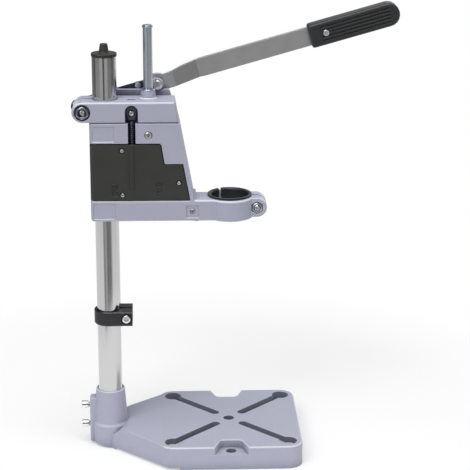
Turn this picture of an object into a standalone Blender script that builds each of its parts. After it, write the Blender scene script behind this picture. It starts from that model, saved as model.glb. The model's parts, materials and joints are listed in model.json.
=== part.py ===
"""Drill stand: a cast base, a steel column, a clamp head, a lever-driven carriage with a drill collar.

Metres, +Z up, +X from the column towards the drill, +Y away from the front. The column's axis is the Z axis and
the floor is z = 0.
"""

import math

import bmesh
import bpy
from mathutils import Matrix, Vector

# Clearances and cutting
GAP = 0.0003
OVERRUN = 0.002
OVERLAP = 0.0006
MERGE = 0.000004

# How many sides round pieces have, the sharpest crease that is shaded smooth, and a hexagon's turn
SIDES_LARGE = 36
SIDES_MEDIUM = 24
SIDES_SMALL = 16
SIDES_HEX = 6
SMOOTH_DEG = 30
HEX_TURN_DEG = 30
ARC_STEP_DEG = 18

# Drilling table, the broad end of the base casting
DRILL_REACH = 0.130
PLATE_LENGTH = 0.154
PLATE_WIDTH = 0.154
PLATE_HEIGHT = 0.026
PLATE_CORNER = 0.016
PLATE_EDGE = 0.0014
PLATE_SKIN = 0.007
PLATE_WALL = 0.005
PLATE_RIB = 0.006
PLATE_LEFT_X = DRILL_REACH - PLATE_LENGTH / 2
KEYHOLE_INSET = 0.0155
KEYHOLE_RADIUS = 0.0090
SLOT_WIDTH = 0.0085
SLOT_INNER_REACH = 0.0212
CENTRE_HOLE_RADIUS = 0.0060
CENTRE_BOSS_RADIUS = 0.0110
NOTCH_MOUTH_HALF = 0.0175
NOTCH_END_HALF = 0.0112
NOTCH_DEPTH = 0.0190
NOTCH_CORNER = 0.0050
NOTCH_FLOOR_Z = PLATE_HEIGHT - 0.0090
BENCH_HOLE_RADIUS = 0.0060
BENCH_HOLE_INSET = 0.0115
POCKET_NOTCH_HALF = 0.0240
POCKET_NOTCH_INSET = 0.0250

# Neck between the table and the column
NECK_DROP = 0.0008
NECK_ROOT_X = 0.010
NECK_ROOT_HALF = 0.026
NECK_SHOULDER_REACH = 0.007
NECK_SHOULDER_INSET = 0.006
NECK_POCKET_START_X = 0.026
NECK_POCKET_START_HALF = 0.026
NECK_POCKET_END_REACH = 0.007
NECK_POCKET_END_HALF = 0.043
FOOT_STEP = 0.002
FOOT_STEP_START_X = 0.006
FOOT_STEP_END_REACH = 0.022

# Column and its cap
COLUMN_RADIUS = 0.0127
COLUMN_WALL = 0.0015
COLUMN_LENGTH = 0.400
COLUMN_FLOOR = 0.004
COLUMN_FOOT_Z = PLATE_HEIGHT + COLUMN_FLOOR
COLUMN_TOP_Z = COLUMN_FOOT_Z + COLUMN_LENGTH
CAP_OVERHANG = 0.0006
CAP_RADIUS = COLUMN_RADIUS + CAP_OVERHANG
CAP_DISC_HEIGHT = 0.0052
CAP_GROOVE_DEPTH = 0.0006
CAP_GROOVE_HEIGHT = 0.0008
CAP_GRIP_HEIGHT = 0.0100
CAP_GRIP_FOOT_RADIUS = 0.0053
CAP_GRIP_TOP_RADIUS = 0.0038
CAP_PLUG_LENGTH = 0.012

# Hub that the column stands in, and the rib behind it
HUB_WALL = 0.0029
HUB_TAPER = 0.0030
HUB_FLARE = 0.0019
HUB_TOP_RADIUS = COLUMN_RADIUS + HUB_WALL
HUB_WAIST_RADIUS = HUB_TOP_RADIUS + HUB_TAPER
HUB_FOOT_RADIUS = HUB_WAIST_RADIUS + HUB_FLARE
HUB_WAIST_RISE = 0.001
HUB_WAIST_Z = PLATE_HEIGHT + HUB_WAIST_RISE
HUB_SOCKET_DEPTH = 0.034
HUB_TOP_Z = COLUMN_FOOT_Z + HUB_SOCKET_DEPTH
HUB_RIM_EDGE = 0.0012
RIB_DEPTH = 0.0042
RIB_REACH = HUB_WAIST_RADIUS + RIB_DEPTH
RIB_HALF_WIDTH = 0.0070
RIB_FOOT_Z = 0.002
RIB_DROP = 0.0084
RIB_TOP_Z = HUB_TOP_Z - RIB_DROP

# Socket bolts in the back of the hub
SOCKET_BOLT_RADIUS = 0.0030
SOCKET_BOLT_HEAD_RADIUS = 0.0041
SOCKET_BOLT_HEAD_LENGTH = 0.0068
SOCKET_BOLT_STICK_OUT = 0.0022
SOCKET_BOLT_HEAD_START = RIB_REACH + SOCKET_BOLT_STICK_OUT
SOCKET_BOLT_HEX_RADIUS = 0.0024
SOCKET_BOLT_HEX_DEPTH = 0.0030
SOCKET_BOLT_UPPER_RISE = 0.0142
SOCKET_BOLT_LOWER_DROP = 0.0084
SOCKET_BOLT_UPPER_Z = COLUMN_FOOT_Z + SOCKET_BOLT_UPPER_RISE
SOCKET_BOLT_LOWER_Z = COLUMN_FOOT_Z - SOCKET_BOLT_LOWER_DROP

# Stop ring
RING_RISE = 0.0770
RING_BOTTOM_Z = HUB_TOP_Z + RING_RISE
RING_HEIGHT = 0.0160
RING_WALL = 0.0031
RING_RADIUS = COLUMN_RADIUS + RING_WALL
RING_SLIT = 0.0030
RING_SCREW_CLEARANCE = 0.0062
RING_SCREW_X = COLUMN_RADIUS + RING_SCREW_CLEARANCE
RING_SCREW_RADIUS = 0.0022
RING_SCREW_HEAD_RADIUS = 0.0045
RING_SCREW_HEAD_LENGTH = 0.0032
RING_SCREW_HEX_RADIUS = 0.0020
RING_SCREW_HEX_DEPTH = 0.0018
RING_SCREW_RECESS_RADIUS = 0.0058
RING_SCREW_RECESS_DEPTH = 0.0024
RING_LUG_END = 0.0066
RING_LUG_REACH = RING_SCREW_X + RING_LUG_END
RING_LUG_FRONT = 0.0152
RING_LUG_BACK = 0.0140
RING_NUT_RADIUS = 0.0044
RING_NUT_LENGTH = 0.0032

# Castings on the column, shared by the head and the carriage
FRONT_WALL_CLEARANCE = 0.0073
FRONT_DEPTH = COLUMN_RADIUS + FRONT_WALL_CLEARANCE
LEFT_WALL_CLEARANCE = 0.0033
LEFT_REACH = COLUMN_RADIUS + LEFT_WALL_CLEARANCE
CAST_EDGE = 0.0009
BUSH_WALL = 0.0010
WALL_LEAN_SHARE = 0.1870

# Where things stand along the castings, each from the one before
SPRING_REACH = 0.0151
SPRING_X = COLUMN_RADIUS + SPRING_REACH
SPRING_SETBACK = 0.0068
SPRING_Y = -FRONT_DEPTH + SPRING_SETBACK
ROD_REACH = 0.0172
ROD_X = SPRING_X + ROD_REACH
ROD_Y = 0.0040
PIVOT_REACH = 0.0093
PIVOT_X = ROD_X + PIVOT_REACH
WALL_REACH = 0.0182
WALL_TOP_X = PIVOT_X + WALL_REACH

# Clamp head
HEAD_DROP = 0.0640
HEAD_HEIGHT = 0.0218
HEAD_BOTTOM_Z = COLUMN_TOP_Z - HEAD_DROP
HEAD_TOP_Z = HEAD_BOTTOM_Z + HEAD_HEIGHT
HEAD_BACK_CLEARANCE = 0.0023
HEAD_BACK_DEPTH = COLUMN_RADIUS + HEAD_BACK_CLEARANCE
HEAD_COLUMN_WALL = 0.0048
LOBE_CLEARANCE = 0.0101
LOBE_X = -COLUMN_RADIUS - LOBE_CLEARANCE
LOBE_RADIUS = HEAD_HEIGHT / 2
LOBE_Z = HEAD_BOTTOM_Z + LOBE_RADIUS
HEAD_SLIT = 0.0025
LOBE_BORE_RADIUS = 0.0088
LOBE_BORE_DEPTH = 0.0035
POCKET_HALF_WIDTH = 0.0066
POCKET_DEPTH = 0.0110
POCKET_RISE = 0.0117
POCKET_CENTRE_Z = HEAD_BOTTOM_Z + POCKET_RISE
WINDOW_HALF_LENGTH = 0.0042
WINDOW_HALF_WIDTH = 0.0014
WINDOW_SETBACK = 0.0160
WINDOW_Y = -FRONT_DEPTH + WINDOW_SETBACK
WINDOW_DEPTH = 0.0060

# Double-ended clamp stud, which is also the lever's fulcrum
STUD_RADIUS = 0.0040
STUD_SETBACK = 0.0004
FULCRUM_RADIUS = 0.0030
CLAMP_NUT_RADIUS = 0.0075
CLAMP_NUT_LENGTH = 0.0050
FULCRUM_WASHER_RADIUS = 0.0065
FULCRUM_WASHER_LENGTH = 0.0012
FULCRUM_NUT_RADIUS = 0.0058
FULCRUM_NUT_LENGTH = 0.0045
THREAD_STICK_OUT = 0.0008

# Carriage
CARRIAGE_GAP = 0.0006
CARRIAGE_TOP_Z = HEAD_BOTTOM_Z - CARRIAGE_GAP
BAND_HEIGHT = 0.0221
BAND_BOTTOM_Z = CARRIAGE_TOP_Z - BAND_HEIGHT
COVER_HEIGHT = 0.0603
ARM_HEIGHT = 0.0230
ARM_TOP_Z = BAND_BOTTOM_Z - COVER_HEIGHT
ARM_BOTTOM_Z = ARM_TOP_Z - ARM_HEIGHT
ARM_BACK_DEPTH = 0.0140
BACK_PLATE_CLEARANCE = 0.0073
BACK_PLATE_THICKNESS = 0.0050
BACK_PLATE_FRONT = COLUMN_RADIUS + BACK_PLATE_CLEARANCE
BACK_PLATE_BACK = BACK_PLATE_FRONT + BACK_PLATE_THICKNESS
BACK_PLATE_RISE = 0.0286
BACK_PLATE_TOP_Z = CARRIAGE_TOP_Z + BACK_PLATE_RISE
BACK_PLATE_GAP_DEPTH = 0.0090
BACK_PLATE_GAP_Z = BACK_PLATE_TOP_Z - BACK_PLATE_GAP_DEPTH
BACK_PLATE_LEFT_X = -0.0118
BACK_PLATE_GAP_LEFT = 0.0075
BACK_PLATE_GAP_LEFT_X = ROD_X - BACK_PLATE_GAP_LEFT
EAR_NECK_LEFT = 0.0053
EAR_NECK_RIGHT = 0.0127
EAR_RADIUS = 0.0066
SIDE_WALL = 0.0045
FRONT_WALL = 0.0040
STEP_REACH = 0.0125
STEP_LEAN = 0.0036
STEP_LEFT_TOP_X = ROD_X + STEP_REACH
STEP_LEFT_BOTTOM_X = STEP_LEFT_TOP_X + STEP_LEAN
STEP_DEPTH = 0.0215
STEP_Z = BAND_BOTTOM_Z - STEP_DEPTH
GROOVE_HALF_WIDTH = 0.0039
GROOVE_DEPTH = 0.0108
PANEL_MARGIN = 0.0029
PANEL_LEFT_X = -LEFT_REACH + PANEL_MARGIN
PANEL_RIGHT_X = 0.0092
PANEL_BORDER = 0.0030
PANEL_DEPTH = 0.0009
PAD_REACH = 0.0396
PAD_CENTRE_X = DRILL_REACH - PAD_REACH
PAD_HALF = 0.0066
PAD_DEPTH = 0.0012
PAD_RISE = 0.0105
PAD_Z = ARM_BOTTOM_Z + PAD_RISE

# Return spring and its anchors
SPRING_WIRE_RADIUS = 0.00055
SPRING_COIL_RADIUS = 0.00270
SPRING_PITCH = 0.0020
SPRING_TURN_POINTS = 9
EYE_RADIUS = 0.0039
EYE_THICKNESS = 0.0030
EYE_HOLE_RADIUS = 0.0022
EYE_SCREW_RISE = 0.0093
EYE_SCREW_Z = HEAD_BOTTOM_Z + EYE_SCREW_RISE
EYE_STEM_RADIUS = 0.0032
EYE_STEM_RISE = 0.0020
EYE_STEM_BOTTOM_Z = HEAD_BOTTOM_Z + EYE_STEM_RISE
EYE_SCREW_RADIUS = 0.0018
EYE_SCREW_HEAD_RADIUS = 0.0026
EYE_SCREW_HEAD_LENGTH = 0.0014
EYE_SCREW_LENGTH = 0.0080
ANCHOR_HEIGHT = 0.0090
ANCHOR_TOP_Z = ARM_TOP_Z + ANCHOR_HEIGHT
ANCHOR_HALF_WIDTH = 0.0042

# Drill collar and its insert
COLLAR_BORE_RADIUS = 0.0218
COLLAR_WALL = 0.0044
COLLAR_RADIUS = COLLAR_BORE_RADIUS + COLLAR_WALL
COLLAR_SLIT = 0.0026
LUG_REACH = 0.0023
LUG_X = DRILL_REACH + COLLAR_RADIUS + LUG_REACH
LUG_RADIUS = 0.0104
LUG_DEPTH = 0.0140
LUG_RISE = 0.0125
LUG_Z = ARM_BOTTOM_Z + LUG_RISE
COLLAR_BOLT_RADIUS = 0.0030
COLLAR_HEAD_RADIUS = 0.0061
COLLAR_NUT_RADIUS = 0.0058
COLLAR_NUT_LENGTH = 0.0046
COLLAR_NUT_RECESS_RADIUS = 0.0067
COLLAR_NUT_RECESS_DEPTH = 0.0042
INSERT_WALL = 0.0020
INSERT_FLANGE_WIDTH = 0.0016
INSERT_FLANGE_RADIUS = COLLAR_BORE_RADIUS + INSERT_FLANGE_WIDTH
INSERT_FLANGE_HEIGHT = 0.0018
INSERT_BORE_RADIUS = COLLAR_BORE_RADIUS - GAP - INSERT_WALL
INSERT_RISE = 0.0010
INSERT_BOTTOM_Z = ARM_BOTTOM_Z + INSERT_RISE
INSERT_CHAMFER = 0.0013
INSERT_SLIT = 0.0034
INSERT_SLIT_DEG = 117.0

# Set screw in the arm's pad
SET_SCREW_RADIUS = 0.0026
SET_SCREW_LENGTH = 0.0090
SET_SCREW_HEX_RADIUS = 0.0014

# Depth rod, its ring and its guide in the head's boss
ROD_RADIUS = 0.0049
ROD_SEAT_RISE = 0.0022
ROD_BOTTOM_Z = BAND_BOTTOM_Z + ROD_SEAT_RISE
ROD_RISE = 0.0762
ROD_TOP_Z = HEAD_TOP_Z + ROD_RISE
ROD_TIP_EDGE = 0.0004
ROD_HOLE_RADIUS = ROD_RADIUS + GAP
ROD_RING_WIDTH = 0.0008
ROD_RING_RADIUS = ROD_RADIUS + ROD_RING_WIDTH
ROD_RING_HEIGHT = 0.0018
ROD_RING_DROP = 0.0008
ROD_RING_SEAT = 0.0007
ROD_SCREW_RISE = 0.0095
ROD_SCREW_Z = BAND_BOTTOM_Z + ROD_SCREW_RISE
ROD_SCREW_RADIUS = 0.0024
ROD_SCREW_HEAD_RADIUS = 0.0037
ROD_SCREW_HEAD_LENGTH = 0.0026
ROD_SCREW_RECESS_RADIUS = 0.0043
ROD_SCREW_RECESS_DEPTH = 0.0030
GUIDE_SLEEVE_WALL = 0.0009
GUIDE_FLANGE_WIDTH = 0.0007
GUIDE_SLEEVE_RADIUS = ROD_HOLE_RADIUS + GUIDE_SLEEVE_WALL
GUIDE_FLANGE_RADIUS = GUIDE_SLEEVE_RADIUS + GUIDE_FLANGE_WIDTH
GUIDE_FLANGE_HEIGHT = 0.0010
GUIDE_LENGTH = 0.0200
BOSS_RIM = 0.0004
BOSS_TAPER = 0.0008
BOSS_TOP_RADIUS = GUIDE_FLANGE_RADIUS + BOSS_RIM
BOSS_FOOT_RADIUS = BOSS_TOP_RADIUS + BOSS_TAPER
BOSS_HEIGHT = 0.0074

# Front cover
COVER_WALL = 0.0024
RIDGE_OFFSET = 0.0004
RIDGE_X = SPRING_X - RIDGE_OFFSET
RIDGE_HALF_WIDTH = 0.0023
RIDGE_HEIGHT = 0.0012
RIDGE_RISE = 0.0130
RIDGE_BOTTOM_Z = ARM_TOP_Z + RIDGE_RISE
MARK_HALF_WIDTH = 0.0025
MARK_PITCH = 0.0046
MARK_SLOT_HEIGHT = 0.0034
MARK_SLOT_DEPTH = 0.0009
MARK_TAB_HEIGHT = 0.0036
MARK_RIB_HEIGHT = 0.0010
MARK_PROUD = 0.0004
MARK_RISE = 0.0118
MARK_Z = ARM_TOP_Z + MARK_RISE
MARK_LEFT_X = 0.0096
MARK_RIGHT_OFFSET = 0.0016
MARK_RIGHT_X = STEP_LEFT_TOP_X - MARK_RIGHT_OFFSET
COVER_SCREW_RADIUS = 0.0014
COVER_SCREW_HEAD_RADIUS = 0.0023
COVER_SCREW_HEAD_LENGTH = 0.0010
COVER_SCREW_LENGTH = 0.0070
COVER_RECESS_RADIUS = 0.0031
COVER_RECESS_DEPTH = 0.0012
COVER_BOSS_HALF = 0.0035
COVER_BOSS_DEPTH = 0.0090
COVER_SCREW_OFFSET = 0.0104
COVER_LEFT_X = SPRING_X - COVER_SCREW_OFFSET
COVER_UPPER_INSET = 0.0067
COVER_LOWER_INSET = 0.0058
COVER_SIDE_RISE = 0.0186
COVER_SIDE_INSET = 0.0078
COVER_UPPER_Z = BAND_BOTTOM_Z - COVER_UPPER_INSET
COVER_LOWER_Z = ARM_TOP_Z + COVER_LOWER_INSET
COVER_SIDE_Z = ARM_TOP_Z + COVER_SIDE_RISE

# Lever
PIVOT_RISE = 0.0100
PIVOT_Z = HEAD_TOP_Z + PIVOT_RISE
LEVER_DEG = 15.9
ARM_PLATE_GAP = 0.0012
ARM_PLATE_THICKNESS = 0.0024
ARM_PLATE_FRONT_Y = BACK_PLATE_BACK + ARM_PLATE_GAP
ARM_PLATE_BACK_Y = ARM_PLATE_FRONT_Y + ARM_PLATE_THICKNESS
ARM_PLATE_TOP = 0.0073
ARM_PLATE_BOTTOM = 0.0090
ARM_PLATE_START = 0.0155
ARM_PLATE_END = 0.0066
BAR_FRONT_Y = ARM_PLATE_BACK_Y + GAP
BAR_THICKNESS = 0.0040
BAR_END_REACH = 0.0330
BAR_SWELL_RADIUS = 0.0107
BAR_NECK_HALF = 0.0091
BAR_HALF = 0.0101
BAR_CRANK_START = 0.0184
BAR_CRANK_LENGTH = 0.0266
BAR_CRANK_END = BAR_CRANK_START + BAR_CRANK_LENGTH
BAR_CRANK_DEPTH = 0.0160
BAR_LENGTH = 0.2540
FULCRUM_SLOT_RISE = 0.0009
FULCRUM_SLOT_HALF = 0.0041
FULCRUM_SLOT_BEFORE = 0.0063
FULCRUM_SLOT_AFTER = 0.0120
RIVET_RADIUS = 0.0020
RIVET_HEAD_RADIUS = 0.0032
RIVET_FRONT_LENGTH = 0.0005
RIVET_BACK_LENGTH = 0.0012
RIVET_NEAR = 0.0200
RIVET_PITCH = 0.0085
RIVET_FAR = RIVET_NEAR + RIVET_PITCH
RIVET_OFFSET = 0.0015
PIVOT_BOLT_RADIUS = 0.0030
PIVOT_HEAD_RADIUS = 0.0047
PIVOT_HEAD_LENGTH = 0.0028
PIVOT_WASHER_RADIUS = 0.0056
PIVOT_WASHER_LENGTH = 0.0007
PIVOT_SPACER_RADIUS = 0.0070
PIVOT_NUT_RADIUS = 0.0058
PIVOT_NUT_LENGTH = 0.0045

# Grip
GRIP_OVERLAP = 0.0860
GRIP_TIP = 0.0125
GRIP_START = BAR_LENGTH - GRIP_OVERLAP
GRIP_END = BAR_LENGTH + GRIP_TIP
GRIP_HALF_WIDTH = 0.0127
GRIP_HALF_THICKNESS = 0.0095
GRIP_EDGE = 0.0030
GRIP_GROOVES = 5
GRIP_GROOVE_HALF = 0.0008
GRIP_GROOVE_DEPTH = 0.0008
GRIP_GROOVE_PITCH = 0.0036
GRIP_GROOVE_INSET = 0.0080
GRIP_GROOVE_STOP = 0.0105
GRIP_SCREW_INSET = 0.0178
GRIP_SCREW_REACH = GRIP_START + GRIP_SCREW_INSET
GRIP_SCREW_RADIUS = 0.0020
GRIP_SCREW_HEAD_RADIUS = 0.0034
GRIP_SCREW_HEAD_LENGTH = 0.0016
GRIP_SCREW_LENGTH = 0.0150

CIRCLE = 2 * math.pi


# Helpers

def clear_scene():
    """Removes every object that the file starts with."""
    for old in list(bpy.data.objects):
        bpy.data.objects.remove(old, do_unlink=True)


def paint(name, colour, roughness, metallic):
    """A Principled material in one colour."""
    made = bpy.data.materials.new(name)
    made.use_nodes = True
    shader = made.node_tree.nodes["Principled BSDF"]
    shader.inputs["Base Color"].default_value = (*colour, 1)
    shader.inputs["Roughness"].default_value = roughness
    shader.inputs["Metallic"].default_value = metallic
    made.diffuse_color = (*colour, 1)
    return made


def object_of(name, shape):
    """A scene object that holds a bmesh, with its faces pointing out."""
    bmesh.ops.recalc_face_normals(shape, faces=shape.faces)
    mesh = bpy.data.meshes.new(name)
    shape.to_mesh(mesh)
    shape.free()
    made = bpy.data.objects.new(name, mesh)
    bpy.context.scene.collection.objects.link(made)
    return made


def to_space(plane, across, up, along):
    """A point of an outline, lifted off its plane by a distance along the plane's own axis."""
    if plane == "XZ":
        return Vector((across, along, up))
    if plane == "YZ":
        return Vector((along, across, up))
    return Vector((across, up, along))


def arc(centre, radius, start_deg, end_deg):
    """Points on a circle from one angle to another, a fifth of a right angle apart or less."""
    steps = math.ceil(abs(end_deg - start_deg) / ARC_STEP_DEG)
    angles = [math.radians(start_deg + (end_deg - start_deg) * step / steps) for step in range(steps + 1)]
    return [(centre[0] + radius * math.cos(angle), centre[1] + radius * math.sin(angle)) for angle in angles]


def prism(name, plane, outline, start, end, edge=0):
    """An outline in a plane, extruded from start to end; edge chamfers the rims of both ends."""
    shape = bmesh.new()
    ring = [shape.verts.new(to_space(plane, across, up, start)) for across, up in outline]
    floor = shape.faces.new(ring)
    grown = bmesh.ops.extrude_face_region(shape, geom=[floor])["geom"]
    lift = to_space(plane, 0, 0, end) - to_space(plane, 0, 0, start)
    bmesh.ops.translate(shape, vec=lift, verts=[v for v in grown if isinstance(v, bmesh.types.BMVert)])
    if edge:
        caps = [f for f in shape.faces if len(f.verts) == len(outline)]
        rims = list({e for f in caps for e in f.edges if len(outline) != 4 or is_rim(e, plane)})
        bmesh.ops.bevel(shape, geom=rims, offset=edge, offset_type="OFFSET", segments=1, affect="EDGES",
                        profile=0.5, material=-1)
    return object_of(name, shape)


def is_rim(line, plane):
    """Whether an edge lies in one of a prism's end faces and not along its extrusion."""
    axis = {"XZ": 1, "YZ": 0, "XY": 2}[plane]
    ends = [v.co[axis] for v in line.verts]
    return abs(ends[0] - ends[1]) < OVERLAP


def box(name, low, high, edge=0):
    """A box between two corners."""
    outline = [(low[0], low[2]), (high[0], low[2]), (high[0], high[2]), (low[0], high[2])]
    return prism(name, "XZ", outline, low[1], high[1], edge)


def turned(name, axis, centre, profile, sides=SIDES_LARGE):
    """A profile of (radius, distance) points spun about an axis, closed on that axis or on itself."""
    shape = bmesh.new()
    ring = [shape.verts.new((radius, 0, along)) for radius, along in profile]
    lines = [shape.edges.new(pair) for pair in zip(ring, ring[1:])]
    if profile[0][0] > 0:
        lines.append(shape.edges.new((ring[-1], ring[0])))
    bmesh.ops.spin(shape, geom=ring + lines, cent=(0, 0, 0), axis=(0, 0, 1), angle=CIRCLE, steps=sides,
                   use_merge=True)
    bmesh.ops.remove_doubles(shape, verts=shape.verts, dist=MERGE)
    made = object_of(name, shape)
    made.data.transform(turn_to(axis))
    made.data.transform(Matrix.Translation(centre))
    return made


def turn_to(axis):
    """The turn that lays +Z on an axis."""
    aim = {"X": Vector((1, 0, 0)), "Y": Vector((0, 1, 0)), "Z": Vector((0, 0, 1))}[axis]
    return Vector((0, 0, 1)).rotation_difference(aim).to_matrix().to_4x4()


def rod(name, axis, centre, radius, start, end, sides=SIDES_SMALL, far_radius=None, edge=0):
    """A round bar along an axis, from start to end of that axis; far_radius makes it a cone."""
    last = radius if far_radius is None else far_radius
    profile = [(0, start), (radius - edge, start), (radius, start + edge), (last, end - edge),
               (last - edge, end), (0, end)]
    if not edge:
        profile = [(0, start), (radius, start), (last, end), (0, end)]
    return turned(name, axis, centre, profile, sides)


def tube(name, axis, centre, inner, outer, start, end, sides=SIDES_LARGE):
    """A plain ring between two radii."""
    return turned(name, axis, centre, [(inner, start), (outer, start), (outer, end), (inner, end)], sides)


def hexagon(name, axis, centre, radius, start, end):
    """A six-sided bar, turned by half a side."""
    made = rod(name, axis, centre, radius, start, end, SIDES_HEX)
    place = Matrix.Translation(centre)
    made.data.transform(place @ Matrix.Rotation(math.radians(HEX_TURN_DEG), 4, axis) @ place.inverted())
    return made


def combine(target, tools, operation):
    """Applies one Boolean between the target and all the tools together, and removes the tools."""
    group = bpy.data.collections.new(operation)
    bpy.context.scene.collection.children.link(group)
    for tool in tools:
        group.objects.link(tool)
    for piece in (target, *tools):
        flatten(piece)
    step = target.modifiers.new(operation, "BOOLEAN")
    step.operation = operation
    step.operand_type = "COLLECTION"
    step.collection = group
    step.solver = "EXACT"
    graph = bpy.context.evaluated_depsgraph_get()
    mesh = bpy.data.meshes.new_from_object(target.evaluated_get(graph))
    target.modifiers.clear()
    target.data = mesh
    for tool in tools:
        bpy.data.objects.remove(tool, do_unlink=True)
    bpy.data.collections.remove(group)
    flatten(target)
    return target


def flatten(piece):
    """Merges corners that nearly meet and splits the faces into triangles, which are always flat."""
    shape = bmesh.new()
    shape.from_mesh(piece.data)
    bmesh.ops.remove_doubles(shape, verts=shape.verts, dist=MERGE)
    bmesh.ops.dissolve_degenerate(shape, edges=shape.edges, dist=MERGE)
    bmesh.ops.triangulate(shape, faces=shape.faces)
    shape.to_mesh(piece.data)
    shape.free()


def add(target, *tools):
    """Joins solids that overlap the target into it."""
    return combine(target, tools, "UNION")


def cut(target, *tools):
    """Cuts solids out of the target."""
    return combine(target, tools, "DIFFERENCE")


def finish(made, material):
    """Gives a piece its material and smooth shading over its round faces."""
    made.data.materials.clear()
    made.data.materials.append(material)
    made.data.shade_smooth()
    made.data.set_sharp_from_angle(angle=math.radians(SMOOTH_DEG))
    return made


def carry(empty_name, place, parent, pieces):
    """An empty on a joint's axis that holds the pieces of one moving body."""
    holder = bpy.data.objects.new(empty_name, None)
    bpy.context.scene.collection.objects.link(holder)
    holder.location = Vector(place)
    if parent:
        holder.parent = parent
        holder.location = Vector(place) - world_place(parent)
    for piece in pieces:
        piece.parent = holder
        piece.matrix_parent_inverse = Matrix.Translation(-Vector(place))
    return holder


def world_place(holder):
    """Where an empty stands, added up over its parents."""
    place = holder.location.copy()
    while holder.parent:
        holder = holder.parent
        place += holder.location
    return place


def headed_screw(name, axis, centre, head, shank, hex_socket=None):
    """A screw along an axis: head and shank are (radius, start, end), and hex_socket is (radius, depth)."""
    radius, start, end = head
    made = rod(name, axis, centre, radius, start, end)
    overlap = OVERLAP if shank[1] >= start else -OVERLAP
    add(made, rod("shank", axis, centre, shank[0], shank[1] - overlap, shank[2]))
    if hex_socket:
        reach, depth = hex_socket
        outer = start - OVERRUN if shank[1] >= start else end + OVERRUN
        inner = start + depth if shank[1] >= start else end - depth
        cut(made, hexagon("socket", axis, centre, reach, min(outer, inner), max(outer, inner)))
    return made


def lean_x(z):
    """Where the castings' leaning right side stands at a height."""
    return WALL_TOP_X + WALL_LEAN_SHARE * (HEAD_TOP_Z - z)


# Base

def rounded_outline(length, width, corner, centre_x):
    """A rectangle with round corners about (centre_x, 0), as points anticlockwise."""
    points = []
    for index, (sx, sy) in enumerate(((1, -1), (1, 1), (-1, 1), (-1, -1))):
        middle = (centre_x + sx * (length / 2 - corner), sy * (width / 2 - corner))
        points += arc(middle, corner, 90 * index - 90, 90 * index)
    return points


def make_base(paint_cast):
    """The base: drilling table, neck and column socket in one casting, hollow underneath."""
    table = rounded_outline(PLATE_LENGTH, PLATE_WIDTH, PLATE_CORNER, DRILL_REACH)
    made = prism("base_plate", "XY", table, 0, PLATE_HEIGHT, PLATE_EDGE)
    neck_end = PLATE_LEFT_X + PLATE_CORNER + PLATE_EDGE
    shoulder_x = PLATE_LEFT_X + NECK_SHOULDER_REACH
    shoulder_half = PLATE_WIDTH / 2 - NECK_SHOULDER_INSET
    corner_half = PLATE_WIDTH / 2 - 2 * PLATE_EDGE
    neck = [(0, -HUB_WAIST_RADIUS), (NECK_ROOT_X, -NECK_ROOT_HALF), (shoulder_x, -shoulder_half),
            (neck_end, -corner_half), (neck_end, corner_half), (shoulder_x, shoulder_half),
            (NECK_ROOT_X, NECK_ROOT_HALF), (0, HUB_WAIST_RADIUS)]
    profile = [(0, 0), (HUB_FOOT_RADIUS, 0), (HUB_FOOT_RADIUS, HUB_WAIST_Z / 2),
               (HUB_WAIST_RADIUS, HUB_WAIST_Z), (HUB_TOP_RADIUS, HUB_TOP_Z - HUB_RIM_EDGE),
               (HUB_TOP_RADIUS - HUB_RIM_EDGE, HUB_TOP_Z), (0, HUB_TOP_Z)]
    rib = [(-RIB_HALF_WIDTH, RIB_FOOT_Z), (RIB_HALF_WIDTH, RIB_FOOT_Z), (RIB_HALF_WIDTH, RIB_TOP_Z),
           (-RIB_HALF_WIDTH, RIB_TOP_Z)]
    add(made, prism("neck", "XY", neck, 0, PLATE_HEIGHT - NECK_DROP, PLATE_EDGE),
        turned("hub", "Z", (0, 0, 0), profile),
        prism("rib", "YZ", rib, -RIB_REACH, 0, HUB_RIM_EDGE))
    tools = [*table_pockets(), neck_pocket()]
    step_end = PLATE_LEFT_X + FOOT_STEP_END_REACH
    tools.append(box("step", (FOOT_STEP_START_X, -PLATE_WIDTH, -OVERRUN),
                     (step_end, PLATE_WIDTH, FOOT_STEP)))
    tools.append(rod("hole", "Z", (DRILL_REACH, 0, 0), CENTRE_HOLE_RADIUS, -OVERRUN, PLATE_HEIGHT + OVERRUN))
    for side in (-1, 1):
        tools += [notch(side), bench_hole(side)]
    for sx in (-1, 1):
        for sy in (-1, 1):
            tools += [diagonal_slot(sx, sy), keyhole(sx, sy)]
    tools.append(rod("socket", "Z", (0, 0, 0), COLUMN_RADIUS + GAP, COLUMN_FOOT_Z - GAP, HUB_TOP_Z + OVERRUN,
                     SIDES_LARGE))
    for height in (SOCKET_BOLT_UPPER_Z, SOCKET_BOLT_LOWER_Z):
        start = -RIB_REACH - OVERRUN
        tools.append(rod("bolt_hole", "X", (0, 0, height), SOCKET_BOLT_RADIUS + GAP, start,
                         hole_end(height)))
    cut(made, *tools)
    return finish(made, paint_cast)


def hole_end(height):
    """How far in a socket bolt's hole reaches: into the column's socket, or to a blind end below it."""
    return 0 if height > COLUMN_FOOT_Z else -socket_bolt_tip(height) + GAP


def socket_bolt_tip(height):
    """The distance of a socket bolt's tip from the column's axis."""
    return COLUMN_RADIUS + GAP if height > COLUMN_FOOT_Z else COLUMN_RADIUS / 2


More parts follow.
